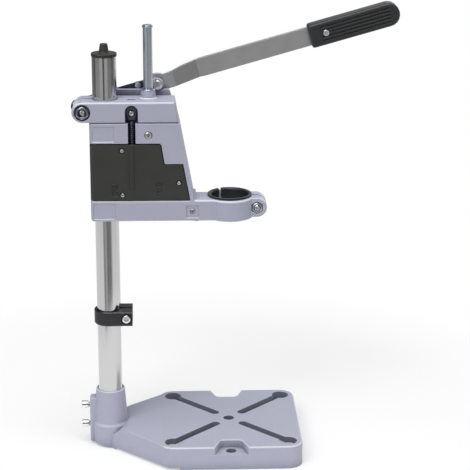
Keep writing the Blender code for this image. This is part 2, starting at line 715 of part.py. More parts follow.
def table_pockets():
    """Four hollows under the table, between its walls, a cross of ribs and the bench-bolt lugs."""
    near = PLATE_RIB / 2
    far_x = PLATE_LENGTH / 2 - PLATE_WALL
    far_y = PLATE_WIDTH / 2 - PLATE_WALL
    lug_y = PLATE_WIDTH / 2 - POCKET_NOTCH_INSET
    corner = PLATE_CORNER - PLATE_WALL
    round_corner = arc((far_x - corner, far_y - corner), corner, 0, 90)
    tools = []
    for sx in (-1, 1):
        for sy in (-1, 1):
            corners = [(near, near), (far_x, near), *round_corner, (POCKET_NOTCH_HALF, far_y),
                       (POCKET_NOTCH_HALF, lug_y), (near, lug_y)]
            outline = [(DRILL_REACH + sx * x, sy * y) for x, y in corners]
            pocket = prism("pocket", "XY", outline, -OVERRUN, PLATE_HEIGHT - PLATE_SKIN)
            boss = rod("boss", "Z", (DRILL_REACH, 0, 0), CENTRE_BOSS_RADIUS, -2 * OVERRUN, PLATE_HEIGHT)
            tools.append(cut(pocket, boss))
    return tools


def neck_pocket():
    """The hollow under the neck."""
    end = PLATE_LEFT_X - NECK_POCKET_END_REACH
    outline = [(NECK_POCKET_START_X, -NECK_POCKET_START_HALF), (end, -NECK_POCKET_END_HALF),
               (end, NECK_POCKET_END_HALF), (NECK_POCKET_START_X, NECK_POCKET_START_HALF)]
    return prism("pocket", "XY", outline, -OVERRUN, PLATE_HEIGHT - PLATE_SKIN)


def notch(side):
    """A bench-bolt notch in the front (-1) or the back (1) edge of the table."""
    mouth = NOTCH_MOUTH_HALF + (NOTCH_MOUTH_HALF - NOTCH_END_HALF) * OVERRUN / (NOTCH_DEPTH - NOTCH_CORNER)
    middle_x = NOTCH_END_HALF - NOTCH_CORNER
    middle_y = NOTCH_CORNER - NOTCH_DEPTH
    points = [(mouth, OVERRUN), *arc((middle_x, middle_y), NOTCH_CORNER, 0, -90),
              *arc((-middle_x, middle_y), NOTCH_CORNER, -90, -180), (-mouth, OVERRUN)]
    outline = [(DRILL_REACH + x, side * (PLATE_WIDTH / 2 + y)) for x, y in points]
    return prism("notch", "XY", outline, NOTCH_FLOOR_Z, PLATE_HEIGHT + OVERRUN)


def bench_hole(side):
    """The hole for a bench bolt in a notch's floor."""
    place = (DRILL_REACH, side * (PLATE_WIDTH / 2 - BENCH_HOLE_INSET), 0)
    return rod("bench_hole", "Z", place, BENCH_HOLE_RADIUS, -OVERRUN, NOTCH_FLOOR_Z + OVERRUN)


def keyhole_reach(sx, sy):
    """Where a keyhole's centre lies from the middle of the table."""
    return Vector((sx * (PLATE_LENGTH / 2 - KEYHOLE_INSET), sy * (PLATE_WIDTH / 2 - KEYHOLE_INSET)))


def keyhole(sx, sy):
    """The round end of a diagonal slot."""
    reach = keyhole_reach(sx, sy)
    return rod("keyhole", "Z", (DRILL_REACH + reach.x, reach.y, 0), KEYHOLE_RADIUS, -OVERRUN,
               PLATE_HEIGHT + OVERRUN, SIDES_MEDIUM)


def diagonal_slot(sx, sy):
    """A slot along a diagonal of the table, round at its inner end."""
    outer = keyhole_reach(sx, sy)
    inner = outer.normalized() * SLOT_INNER_REACH
    turn = math.degrees(math.atan2(outer.y, outer.x))
    side = Vector((-outer.y, outer.x)).normalized() * SLOT_WIDTH / 2
    points = [*arc(inner, SLOT_WIDTH / 2, turn + 90, turn + 270), outer - side, outer + side]
    outline = [(DRILL_REACH + x, y) for x, y in points]
    return prism("slot", "XY", outline, -OVERRUN, PLATE_HEIGHT + OVERRUN)


def make_socket_bolt(name, height, steel):
    """A bolt that presses on the column through the back of the hub, or that closes its foot."""
    head = (SOCKET_BOLT_HEAD_RADIUS, -SOCKET_BOLT_HEAD_START - SOCKET_BOLT_HEAD_LENGTH,
            -SOCKET_BOLT_HEAD_START)
    shank = (SOCKET_BOLT_RADIUS, -SOCKET_BOLT_HEAD_START, -socket_bolt_tip(height))
    made = headed_screw(name, "X", (0, 0, height), head, shank,
                        (SOCKET_BOLT_HEX_RADIUS, SOCKET_BOLT_HEX_DEPTH))
    return finish(made, steel)


# Column and stop ring

def make_column(chrome):
    """The steel tube."""
    made = tube("column", "Z", (0, 0, 0), COLUMN_RADIUS - COLUMN_WALL, COLUMN_RADIUS, COLUMN_FOOT_Z,
                COLUMN_TOP_Z)
    return finish(made, chrome)


def make_cap(black):
    """The plastic cap with its finger grip, plugged into the tube."""
    disc = COLUMN_TOP_Z + GAP
    groove = disc + CAP_DISC_HEIGHT / 2
    top = disc + CAP_DISC_HEIGHT
    plug = COLUMN_RADIUS - COLUMN_WALL - GAP
    waist = CAP_RADIUS - CAP_GROOVE_DEPTH
    tip = top + CAP_GRIP_HEIGHT
    profile = [(0, disc - CAP_PLUG_LENGTH), (plug, disc - CAP_PLUG_LENGTH), (plug, disc), (CAP_RADIUS, disc),
               (CAP_RADIUS, groove), (waist, groove), (waist, groove + CAP_GROOVE_HEIGHT),
               (CAP_RADIUS, groove + CAP_GROOVE_HEIGHT), (CAP_RADIUS, top - CAP_GROOVE_DEPTH), (waist, top),
               (CAP_GRIP_FOOT_RADIUS, top), (CAP_GRIP_TOP_RADIUS, tip - CAP_GROOVE_DEPTH),
               (CAP_GRIP_TOP_RADIUS - CAP_GROOVE_DEPTH, tip), (0, tip)]
    return finish(turned("column_cap", "Z", (0, 0, 0), profile), black)


def make_stop_ring(black):
    """The split depth-stop ring with its two lugs."""
    top = RING_BOTTOM_Z + RING_HEIGHT
    made = rod("stop_ring", "Z", (0, 0, 0), RING_RADIUS, RING_BOTTOM_Z, top, SIDES_LARGE, edge=CAST_EDGE)
    lugs = box("lugs", (0, -RING_LUG_FRONT, RING_BOTTOM_Z), (RING_LUG_REACH, RING_LUG_BACK, top), CAST_EDGE)
    add(made, lugs)
    bottom = RING_BOTTOM_Z - OVERRUN
    bore = rod("bore", "Z", (0, 0, 0), COLUMN_RADIUS + GAP, bottom, top + OVERRUN, SIDES_LARGE)
    slit = box("slit", (0, -RING_SLIT / 2, bottom), (RING_LUG_REACH + OVERRUN, RING_SLIT / 2, top + OVERRUN))
    place = (RING_SCREW_X, 0, RING_BOTTOM_Z + RING_HEIGHT / 2)
    front = -RING_LUG_FRONT - OVERRUN
    hole = rod("screw_hole", "Y", place, RING_SCREW_RADIUS + GAP, front, RING_LUG_BACK + OVERRUN)
    recess_floor = -RING_LUG_FRONT + RING_SCREW_RECESS_DEPTH
    recess = rod("recess", "Y", place, RING_SCREW_RECESS_RADIUS, front, recess_floor, SIDES_MEDIUM)
    cut(made, bore, slit, hole, recess)
    return finish(made, black)


def make_ring_screw(steel):
    """The socket screw that clamps the stop ring."""
    place = (RING_SCREW_X, 0, RING_BOTTOM_Z + RING_HEIGHT / 2)
    seat = -RING_LUG_FRONT + RING_SCREW_RECESS_DEPTH - GAP
    head = (RING_SCREW_HEAD_RADIUS, seat - RING_SCREW_HEAD_LENGTH, seat)
    shank = (RING_SCREW_RADIUS, seat, RING_LUG_BACK + GAP + RING_NUT_LENGTH + THREAD_STICK_OUT)
    made = headed_screw("stop_ring_screw", "Y", place, head, shank,
                        (RING_SCREW_HEX_RADIUS, RING_SCREW_HEX_DEPTH))
    return finish(made, steel)


def make_nut(name, place, radius, bolt_radius, start, length, steel):
    """A hexagon nut along Y, with its thread bored out."""
    made = hexagon(name, "Y", place, radius, start, start + length)
    cut(made, rod("thread", "Y", place, bolt_radius + GAP, start - OVERRUN, start + length + OVERRUN))
    return finish(made, steel)


# Clamp head

def make_head(paint_cast):
    """The casting clamped on the column, with the fulcrum, the spring's anchor and the rod's guide."""
    right_top = lean_x(HEAD_TOP_Z)
    right_bottom = lean_x(HEAD_BOTTOM_Z)
    front = [(right_bottom, HEAD_BOTTOM_Z), (right_top, HEAD_TOP_Z)]
    front += arc((LOBE_X, LOBE_Z), LOBE_RADIUS, 90, 270)
    made = prism("clamp_head", "XZ", front, -FRONT_DEPTH, HEAD_BACK_DEPTH, CAST_EDGE)
    wall = COLUMN_RADIUS + GAP + HEAD_COLUMN_WALL
    collar = rod("wall", "Z", (0, 0, 0), wall, HEAD_BOTTOM_Z, HEAD_TOP_Z, SIDES_LARGE, edge=CAST_EDGE)
    boss_top = HEAD_TOP_Z + BOSS_HEIGHT
    boss = rod("boss", "Z", (ROD_X, ROD_Y, 0), BOSS_FOOT_RADIUS, HEAD_TOP_Z - OVERRUN, boss_top,
               SIDES_MEDIUM, BOSS_TOP_RADIUS)
    add(made, collar, boss)
    low = HEAD_BOTTOM_Z - OVERRUN
    high = HEAD_TOP_Z + OVERRUN
    front_y = -FRONT_DEPTH - OVERRUN
    place = (LOBE_X, 0, LOBE_Z)
    screw = (SPRING_X, 0, EYE_SCREW_Z)
    screw_end = -FRONT_DEPTH + POCKET_DEPTH + EYE_SCREW_LENGTH
    window_low = (SPRING_X - WINDOW_HALF_LENGTH, WINDOW_Y - WINDOW_HALF_WIDTH, HEAD_TOP_Z - WINDOW_DEPTH)
    window_high = (SPRING_X + WINDOW_HALF_LENGTH, WINDOW_Y + WINDOW_HALF_WIDTH, high)
    cut(made,
        rod("bore", "Z", (0, 0, 0), COLUMN_RADIUS + GAP, low, high, SIDES_LARGE),
        box("slit", (LOBE_X - LOBE_RADIUS - OVERRUN, -HEAD_SLIT / 2, low), (0, HEAD_SLIT / 2, high)),
        rod("stud_hole", "Y", place, STUD_RADIUS + GAP, front_y, HEAD_BACK_DEPTH + OVERRUN),
        rod("nut_recess", "Y", place, LOBE_BORE_RADIUS, front_y, -FRONT_DEPTH + LOBE_BORE_DEPTH,
            SIDES_LARGE),
        spring_pocket(),
        rod("eye_hole", "Y", screw, EYE_SCREW_RADIUS + GAP, -FRONT_DEPTH, screw_end + GAP),
        rod("guide_hole", "Z", (ROD_X, ROD_Y, 0), GUIDE_SLEEVE_RADIUS + GAP, low, boss_top + OVERRUN),
        box("window", window_low, window_high))
    return finish(made, paint_cast)


def spring_pocket():
    """The pocket in the head's front that the spring hangs in: round at the top, open below."""
    foot = HEAD_BOTTOM_Z - OVERRUN
    points = arc((SPRING_X, POCKET_CENTRE_Z), POCKET_HALF_WIDTH, 0, 180)
    points += [(SPRING_X - POCKET_HALF_WIDTH, foot), (SPRING_X + POCKET_HALF_WIDTH, foot)]
    return prism("pocket", "XZ", points, -FRONT_DEPTH - OVERRUN, -FRONT_DEPTH + POCKET_DEPTH)


def make_stud(steel):
    """The double-ended stud: it closes the split lobes, and its thin end is the lever's fulcrum."""
    place = (LOBE_X, 0, LOBE_Z)
    shoulder = ARM_PLATE_FRONT_Y - GAP
    end = ARM_PLATE_BACK_Y + 2 * GAP + FULCRUM_WASHER_LENGTH + FULCRUM_NUT_LENGTH + THREAD_STICK_OUT
    made = rod("clamp_stud", "Y", place, STUD_RADIUS, -FRONT_DEPTH + STUD_SETBACK, shoulder)
    add(made, rod("fulcrum", "Y", place, FULCRUM_RADIUS, shoulder - OVERLAP, end))
    return finish(made, steel)


def make_fulcrum_washer(steel):
    """The washer that keeps the lever's inner arm on its fulcrum."""
    start = ARM_PLATE_BACK_Y + GAP
    made = tube("fulcrum_washer", "Y", (LOBE_X, 0, LOBE_Z), FULCRUM_RADIUS + GAP, FULCRUM_WASHER_RADIUS,
                start, start + FULCRUM_WASHER_LENGTH, SIDES_SMALL)
    return finish(made, steel)


def make_guide(steel):
    """The steel bush in the head's boss that the depth rod slides in."""
    seat = HEAD_TOP_Z + BOSS_HEIGHT + GAP
    top = seat + GUIDE_FLANGE_HEIGHT
    profile = [(ROD_HOLE_RADIUS, seat - GUIDE_LENGTH), (GUIDE_SLEEVE_RADIUS, seat - GUIDE_LENGTH),
               (GUIDE_SLEEVE_RADIUS, seat), (GUIDE_FLANGE_RADIUS, seat), (GUIDE_FLANGE_RADIUS, top),
               (ROD_HOLE_RADIUS, top)]
    return finish(turned("rod_guide_bush", "Z", (ROD_X, ROD_Y, 0), profile, SIDES_MEDIUM), steel)


# Return spring

def make_eye(black):
    """The black eye that the spring's upper end is held by."""
    made = rod("spring_eye", "Y", (SPRING_X, SPRING_Y, EYE_SCREW_Z), EYE_RADIUS, -EYE_THICKNESS / 2,
               EYE_THICKNESS / 2, SIDES_MEDIUM)
    stem_top = EYE_SCREW_Z - EYE_HOLE_RADIUS - OVERLAP
    add(made, rod("stem", "Z", (SPRING_X, SPRING_Y, 0), EYE_STEM_RADIUS, EYE_STEM_BOTTOM_Z, stem_top))
    cut(made, rod("hole", "Y", (SPRING_X, SPRING_Y, EYE_SCREW_Z), EYE_HOLE_RADIUS, -EYE_RADIUS - OVERRUN,
                  EYE_RADIUS + OVERRUN))
    return finish(made, black)


def make_eye_screw(steel):
    """The screw that holds the spring's eye in the head."""
    seat = SPRING_Y - EYE_THICKNESS / 2 - GAP
    head = (EYE_SCREW_HEAD_RADIUS, seat - EYE_SCREW_HEAD_LENGTH, seat)
    shank = (EYE_SCREW_RADIUS, seat, -FRONT_DEPTH + POCKET_DEPTH + EYE_SCREW_LENGTH)
    made = headed_screw("spring_anchor_screw", "Y", (SPRING_X, 0, EYE_SCREW_Z), head, shank)
    return finish(made, steel)


def spring_points():
    """The spring's centre line: a straight end, the curls, and a straight end."""
    bottom = ANCHOR_TOP_Z + GAP
    top = EYE_STEM_BOTTOM_Z - GAP
    straight = 2 * SPRING_WIRE_RADIUS
    length = top - bottom - 2 * straight
    turns = round(length / SPRING_PITCH)
    count = turns * SPRING_TURN_POINTS
    points = [(SPRING_X + SPRING_COIL_RADIUS, SPRING_Y, bottom)]
    for index in range(count + 1):
        angle = CIRCLE * index / SPRING_TURN_POINTS
        height = bottom + straight + length * index / count
        points.append((SPRING_X + SPRING_COIL_RADIUS * math.cos(angle),
                       SPRING_Y + SPRING_COIL_RADIUS * math.sin(angle), height))
    points.append((points[-1][0], points[-1][1], top))
    return points


def make_spring(steel):
    """The return spring, one unbroken tube."""
    path = bpy.data.curves.new("return_spring", "CURVE")
    path.dimensions = "3D"
    path.bevel_depth = SPRING_WIRE_RADIUS
    path.bevel_resolution = 1
    path.use_fill_caps = True
    points = spring_points()
    spline = path.splines.new("POLY")
    spline.points.add(len(points) - 1)
    for knot, place in zip(spline.points, points):
        knot.co = (*place, 1)
    print("return_spring: least gap to itself", round(1000 * least_gap(points), 2), "mm")
    made = bpy.data.objects.new("return_spring", path)
    bpy.context.scene.collection.objects.link(made)
    path.materials.append(steel)
    return made


def least_gap(points):
    """The least clear distance between two curls, measured between points more than half a turn apart."""
    least = math.inf
    apart = SPRING_TURN_POINTS // 2 + 1
    for index, here in enumerate(points):
        for there in points[index + apart:index + 3 * SPRING_TURN_POINTS]:
            least = min(least, math.dist(here, there))
    return least - 2 * SPRING_WIRE_RADIUS


# Carriage

def make_carriage(paint_cast):
    """The casting that slides under the head: band, leaning wall, arm and drill collar."""
    left = -LEFT_REACH
    wall_top = lean_x(BAND_BOTTOM_Z) - SIDE_WALL
    wall_foot = lean_x(ARM_BOTTOM_Z) - SIDE_WALL
    outline = [(left, BAND_BOTTOM_Z), (wall_top, BAND_BOTTOM_Z), (wall_foot, ARM_BOTTOM_Z),
               (lean_x(ARM_BOTTOM_Z), ARM_BOTTOM_Z),
               (lean_x(CARRIAGE_TOP_Z), CARRIAGE_TOP_Z), (left, CARRIAGE_TOP_Z)]
    made = prism("carriage", "XZ", outline, -FRONT_DEPTH, BACK_PLATE_BACK, CAST_EDGE)
    behind = [(left, ARM_BOTTOM_Z), (wall_foot + SIDE_WALL / 2, ARM_BOTTOM_Z),
              (wall_top + SIDE_WALL / 2, BAND_BOTTOM_Z + OVERRUN),
              (left, BAND_BOTTOM_Z + OVERRUN)]
    face = [(STEP_LEFT_TOP_X, BAND_BOTTOM_Z + OVERRUN), (STEP_LEFT_BOTTOM_X, STEP_Z),
            (lean_x(STEP_Z) - SIDE_WALL / 2, STEP_Z),
            (lean_x(BAND_BOTTOM_Z) - SIDE_WALL / 2, BAND_BOTTOM_Z + OVERRUN)]
    lug_low = LUG_Z - LUG_RADIUS
    lug_high = LUG_Z + LUG_RADIUS
    add(made,
        prism("back", "XZ", behind, BACK_PLATE_FRONT, BACK_PLATE_BACK),
        box("arm", (left, -FRONT_DEPTH, ARM_BOTTOM_Z), (DRILL_REACH, ARM_BACK_DEPTH, ARM_TOP_Z), CAST_EDGE),
        box("root", (left, 0, ARM_BOTTOM_Z), (wall_foot + SIDE_WALL / 2, BACK_PLATE_BACK, ARM_TOP_Z)),
        prism("face", "XZ", face, -FRONT_DEPTH, -FRONT_DEPTH + FRONT_WALL),
        rod("collar", "Z", (DRILL_REACH, 0, 0), COLLAR_RADIUS, ARM_BOTTOM_Z, ARM_TOP_Z, SIDES_LARGE,
            edge=CAST_EDGE),
        rod("lug", "Y", (LUG_X, 0, LUG_Z), LUG_RADIUS, -LUG_DEPTH, LUG_DEPTH, SIDES_LARGE, edge=CAST_EDGE),
        box("lug_root", (DRILL_REACH, -LUG_DEPTH, lug_low), (LUG_X, LUG_DEPTH, lug_high), CAST_EDGE),
        ear_plate(),
        rod("ear", "Y", (PIVOT_X, 0, PIVOT_Z), EAR_RADIUS, BACK_PLATE_FRONT, BACK_PLATE_BACK, SIDES_LARGE),
        spring_anchor(),
        *cover_bosses())
    cut(made, *carriage_holes())
    return finish(made, paint_cast)


def ear_plate():
    """The upright plate behind the head that rises to the lever's pivot."""
    foot = CARRIAGE_TOP_Z - OVERRUN
    neck_left = PIVOT_X - EAR_NECK_LEFT
    neck_right = PIVOT_X + EAR_NECK_RIGHT
    gap_left = BACK_PLATE_GAP_LEFT_X
    outline = [(BACK_PLATE_LEFT_X, foot), (lean_x(CARRIAGE_TOP_Z), foot), (neck_right, BACK_PLATE_TOP_Z),
               (neck_left, BACK_PLATE_TOP_Z), (neck_left, BACK_PLATE_GAP_Z), (gap_left, BACK_PLATE_GAP_Z),
               (gap_left, BACK_PLATE_TOP_Z - CAST_EDGE), (gap_left - CAST_EDGE, BACK_PLATE_TOP_Z),
               (BACK_PLATE_LEFT_X, BACK_PLATE_TOP_Z)]
    return prism("ear_plate", "XZ", outline, BACK_PLATE_FRONT, BACK_PLATE_BACK, CAST_EDGE)


def cover_screw_places():
    """Where the cover's three screws stand, as name, x and z."""
    side_x = lean_x(COVER_SIDE_Z) - SIDE_WALL - COVER_SIDE_INSET
    return (("upper", COVER_LEFT_X, COVER_UPPER_Z), ("lower", COVER_LEFT_X, COVER_LOWER_Z),
            ("side", side_x, COVER_SIDE_Z))


def cover_bosses():
    """Blocks inside the carriage that the cover's screws go into."""
    front = -FRONT_DEPTH + COVER_WALL + GAP
    rear = front + COVER_BOSS_DEPTH
    half = COVER_BOSS_HALF
    left = COVER_LEFT_X - half
    right = COVER_LEFT_X + half
    wall_x = lean_x(COVER_SIDE_Z) - SIDE_WALL / 2
    inner_x = wall_x - SIDE_WALL / 2 - COVER_SIDE_INSET - half
    upper = box("boss", (left, front, COVER_UPPER_Z - half), (right, rear, BAND_BOTTOM_Z + OVERRUN))
    lower = box("boss", (left, front, ARM_TOP_Z - OVERRUN), (right, rear, COVER_LOWER_Z + half))
    side = box("boss", (inner_x, front, COVER_SIDE_Z - half), (wall_x, rear, COVER_SIDE_Z + half))
    return upper, lower, side


def spring_anchor():
    """The block on the arm that the spring's lower end stands on."""
    low = (SPRING_X - ANCHOR_HALF_WIDTH, SPRING_Y - ANCHOR_HALF_WIDTH, ARM_TOP_Z - OVERRUN)
    high = (SPRING_X + ANCHOR_HALF_WIDTH, SPRING_Y + ANCHOR_HALF_WIDTH, ANCHOR_TOP_Z)
    return box("anchor", low, high)


def carriage_holes():
    """Everything that is bored or slotted out of the carriage."""
    bush = COLUMN_RADIUS + GAP + BUSH_WALL + GAP
    over = OVERRUN
    front = -FRONT_DEPTH
    recess_floor = -LUG_DEPTH + COLLAR_NUT_RECESS_DEPTH
    tools = [
        rod("bore", "Z", (0, 0, 0), bush, ARM_BOTTOM_Z - over, CARRIAGE_TOP_Z + over, SIDES_LARGE),
        hexagon("nut_recess", "Y", (LUG_X, 0, LUG_Z), COLLAR_NUT_RECESS_RADIUS, -LUG_DEPTH - over,
                recess_floor),
        rod("collar_bore", "Z", (DRILL_REACH, 0, 0), COLLAR_BORE_RADIUS, ARM_BOTTOM_Z - over,
            ARM_TOP_Z + over, SIDES_LARGE),
        box("slit", (DRILL_REACH, -COLLAR_SLIT / 2, ARM_BOTTOM_Z - over),
            (LUG_X + LUG_RADIUS + over, COLLAR_SLIT / 2, ARM_TOP_Z + over)),
        rod("lug_hole", "Y", (LUG_X, 0, LUG_Z), COLLAR_BOLT_RADIUS + GAP, -LUG_DEPTH - over,
            LUG_DEPTH + over),
        box("groove", (SPRING_X - GROOVE_HALF_WIDTH, front - over, BAND_BOTTOM_Z - over),
            (SPRING_X + GROOVE_HALF_WIDTH, front + GROOVE_DEPTH, CARRIAGE_TOP_Z + over)),
        rod("rod_hole", "Z", (ROD_X, ROD_Y, 0), ROD_RADIUS + GAP, ROD_BOTTOM_Z - GAP, CARRIAGE_TOP_Z + over,
            SIDES_MEDIUM),
        rod("rod_screw_hole", "Y", (ROD_X, 0, ROD_SCREW_Z), ROD_SCREW_RADIUS + GAP, front - over, ROD_Y),
        rod("rod_screw_recess", "Y", (ROD_X, 0, ROD_SCREW_Z), ROD_SCREW_RECESS_RADIUS, front - over,
            front + ROD_SCREW_RECESS_DEPTH),
        rod("pivot_hole", "Y", (PIVOT_X, 0, PIVOT_Z), PIVOT_BOLT_RADIUS + GAP, BACK_PLATE_FRONT - over,
            BACK_PLATE_BACK + over),
        box("pad", (PAD_CENTRE_X - PAD_HALF, front - over, PAD_Z - PAD_HALF),
            (PAD_CENTRE_X + PAD_HALF, front + PAD_DEPTH, PAD_Z + PAD_HALF)),
        rod("pad_hole", "Y", (PAD_CENTRE_X, 0, PAD_Z), SET_SCREW_RADIUS + GAP, front,
            front + PAD_DEPTH + SET_SCREW_LENGTH + GAP),
    ]
    for bottom, height in ((BAND_BOTTOM_Z, CARRIAGE_TOP_Z), (ARM_BOTTOM_Z, ARM_TOP_Z)):
        low = (PANEL_LEFT_X, front - over, bottom + PANEL_BORDER)
        tools.append(box("panel", low, (PANEL_RIGHT_X, front + PANEL_DEPTH, height - PANEL_BORDER)))
    for _, x, z in cover_screw_places():
        seat = -FRONT_DEPTH + COVER_RECESS_DEPTH
        tools.append(rod("screw_hole", "Y", (x, 0, z), COVER_SCREW_RADIUS + GAP, seat,
                         seat + COVER_SCREW_LENGTH + GAP))
    return tools


def make_bush(name, bottom, top, plastic):
    """A plain bush between the carriage and the column."""
    inner = COLUMN_RADIUS + GAP
    return finish(tube(name, "Z", (0, 0, 0), inner, inner + BUSH_WALL, bottom, top), plastic)


def make_insert(black):
    """The flanged, split plastic insert in the drill collar."""
    seat = ARM_TOP_Z + GAP
    top = seat + INSERT_FLANGE_HEIGHT
    sleeve = COLLAR_BORE_RADIUS - GAP
    profile = [(INSERT_BORE_RADIUS, INSERT_BOTTOM_Z), (sleeve, INSERT_BOTTOM_Z), (sleeve, seat),
               (INSERT_FLANGE_RADIUS, seat), (INSERT_FLANGE_RADIUS, top),
               (INSERT_BORE_RADIUS + INSERT_CHAMFER, top), (INSERT_BORE_RADIUS, top - INSERT_CHAMFER)]
    made = turned("collar_insert", "Z", (DRILL_REACH, 0, 0), profile)
    slit = box("slit", (0, -INSERT_SLIT / 2, INSERT_BOTTOM_Z - OVERRUN),
               (INSERT_FLANGE_RADIUS + OVERRUN, INSERT_SLIT / 2, top + OVERRUN))
    slit.data.transform(Matrix.Rotation(math.radians(INSERT_SLIT_DEG), 4, "Z"))
    slit.data.transform(Matrix.Translation((DRILL_REACH, 0, 0)))
    cut(made, slit)
    return finish(made, black)


def collar_nut_front():
    """How far forward the nut in the collar lug's recess reaches."""
    return -LUG_DEPTH + COLLAR_NUT_RECESS_DEPTH - GAP - COLLAR_NUT_LENGTH


def make_collar_bolt(steel):
    """The bolt that closes the drill collar."""
    place = (LUG_X, 0, LUG_Z)
    seat = LUG_DEPTH + GAP
    made = hexagon("collar_bolt", "Y", place, COLLAR_HEAD_RADIUS, seat, seat + COLLAR_NUT_LENGTH)
    add(made, rod("shank", "Y", place, COLLAR_BOLT_RADIUS, collar_nut_front() - THREAD_STICK_OUT,
                  seat + OVERLAP))
    return finish(made, steel)


def make_set_screw(steel):
    """The headless screw in the arm's pad."""
    place = (PAD_CENTRE_X, 0, PAD_Z)
    start = -FRONT_DEPTH + PAD_DEPTH
    made = rod("arm_set_screw", "Y", place, SET_SCREW_RADIUS, start, start + SET_SCREW_LENGTH)
    cut(made, hexagon("socket", "Y", place, SET_SCREW_HEX_RADIUS, start - OVERRUN, start + SET_SCREW_RADIUS))
    return finish(made, steel)


def make_rod(zinc):
    """The depth rod with the groove for its ring."""
    ring_top = ROD_TOP_Z - ROD_RING_DROP
    ring_bottom = ring_top - ROD_RING_HEIGHT - 2 * GAP
    neck = ROD_RADIUS - ROD_RING_SEAT
    profile = [(0, ROD_BOTTOM_Z), (ROD_RADIUS, ROD_BOTTOM_Z), (ROD_RADIUS, ring_bottom), (neck, ring_bottom),
               (neck, ring_top), (ROD_RADIUS, ring_top), (ROD_RADIUS, ROD_TOP_Z - ROD_TIP_EDGE),
               (ROD_RADIUS - ROD_TIP_EDGE, ROD_TOP_Z), (0, ROD_TOP_Z)]
    return finish(turned("depth_rod", "Z", (ROD_X, ROD_Y, 0), profile, SIDES_MEDIUM), zinc)


def make_rod_ring(steel):
    """The retaining ring near the top of the depth rod."""
    top = ROD_TOP_Z - ROD_RING_DROP - GAP
    inner = ROD_RADIUS - ROD_RING_SEAT + GAP
    made = tube("rod_ring", "Z", (ROD_X, ROD_Y, 0), inner, ROD_RING_RADIUS, top - ROD_RING_HEIGHT, top,
                SIDES_MEDIUM)
    return finish(made, steel)


def make_rod_screw(steel):
    """The screw that holds the depth rod in the carriage."""
    seat = -FRONT_DEPTH + ROD_SCREW_RECESS_DEPTH - GAP
    head = (ROD_SCREW_HEAD_RADIUS, seat - ROD_SCREW_HEAD_LENGTH, seat)
    shank = (ROD_SCREW_RADIUS, seat, ROD_Y - ROD_RADIUS - GAP)
    return finish(headed_screw("rod_screw", "Y", (ROD_X, 0, ROD_SCREW_Z), head, shank), steel)


# Front cover

def make_cover(black):
    """The black cover over the carriage's window, with its left return, ridge, marks and screw recesses."""
    left = -LEFT_REACH
    low = ARM_TOP_Z + GAP
    high = BAND_BOTTOM_Z - GAP
    inset = SIDE_WALL + GAP
    outline = [(left, low), (lean_x(low) - inset, low), (lean_x(STEP_Z) - inset, STEP_Z - GAP),
               (STEP_LEFT_BOTTOM_X - GAP, STEP_Z - GAP), (STEP_LEFT_TOP_X - GAP, high), (left, high)]
    front = -FRONT_DEPTH
    made = prism("front_cover", "XZ", outline, front, front + COVER_WALL)
    back = (left + COVER_WALL - COVER_RECESS_DEPTH, BACK_PLATE_FRONT - GAP, high)
    ridge_low = (RIDGE_X - RIDGE_HALF_WIDTH, front - RIDGE_HEIGHT, RIDGE_BOTTOM_Z)
    ridge_high = (RIDGE_X + RIDGE_HALF_WIDTH, front + OVERLAP, high)
    raised = [box("return", (left, front + OVERLAP, low), back), box("ridge", ridge_low, ridge_high)]
    tools = []
    for x in (MARK_LEFT_X, MARK_RIGHT_X):
        raised.append(mark(x, MARK_Z + MARK_PITCH, MARK_TAB_HEIGHT, front - MARK_PROUD, front + OVERLAP))
        raised.append(mark(x, MARK_Z - MARK_PITCH, MARK_RIB_HEIGHT, front - MARK_PROUD, front + OVERLAP))
        tools.append(mark(x, MARK_Z, MARK_SLOT_HEIGHT, front - OVERRUN, front + MARK_SLOT_DEPTH))
    add(made, *raised)
    for _, x, z in cover_screw_places():
        tools.append(rod("recess", "Y", (x, 0, z), COVER_RECESS_RADIUS, front - OVERRUN,
                         front + COVER_RECESS_DEPTH))
        tools.append(rod("hole", "Y", (x, 0, z), COVER_SCREW_RADIUS + GAP, front - OVERRUN,
                         front + COVER_WALL + OVERRUN))
    cut(made, *tools)
    return finish(made, black)


def mark(x, z, height, start, end):
    """One bar of a mark on the cover, centred on x and z."""
    half = height / 2
    return box("mark", (x - MARK_HALF_WIDTH, start, z - half), (x + MARK_HALF_WIDTH, end, z + half))


def make_cover_screws(steel):
    """The cover's three screws."""
    seat = -FRONT_DEPTH + COVER_RECESS_DEPTH - GAP
    head = (COVER_SCREW_HEAD_RADIUS, seat - COVER_SCREW_HEAD_LENGTH, seat)
    shank = (COVER_SCREW_RADIUS, seat, seat + COVER_SCREW_LENGTH)
    return [finish(headed_screw("cover_screw_" + name, "Y", (x, 0, z), head, shank), steel)
            for name, x, z in cover_screw_places()]


# Lever, modelled level with its pivot at the origin and then swung up

def swing(made):
    """Swings a level lever piece up to its rest angle and puts it on its pivot."""
    made.data.transform(Matrix.Rotation(-math.radians(LEVER_DEG), 4, "Y"))
    made.data.transform(Matrix.Translation((PIVOT_X, 0, PIVOT_Z)))
    return made


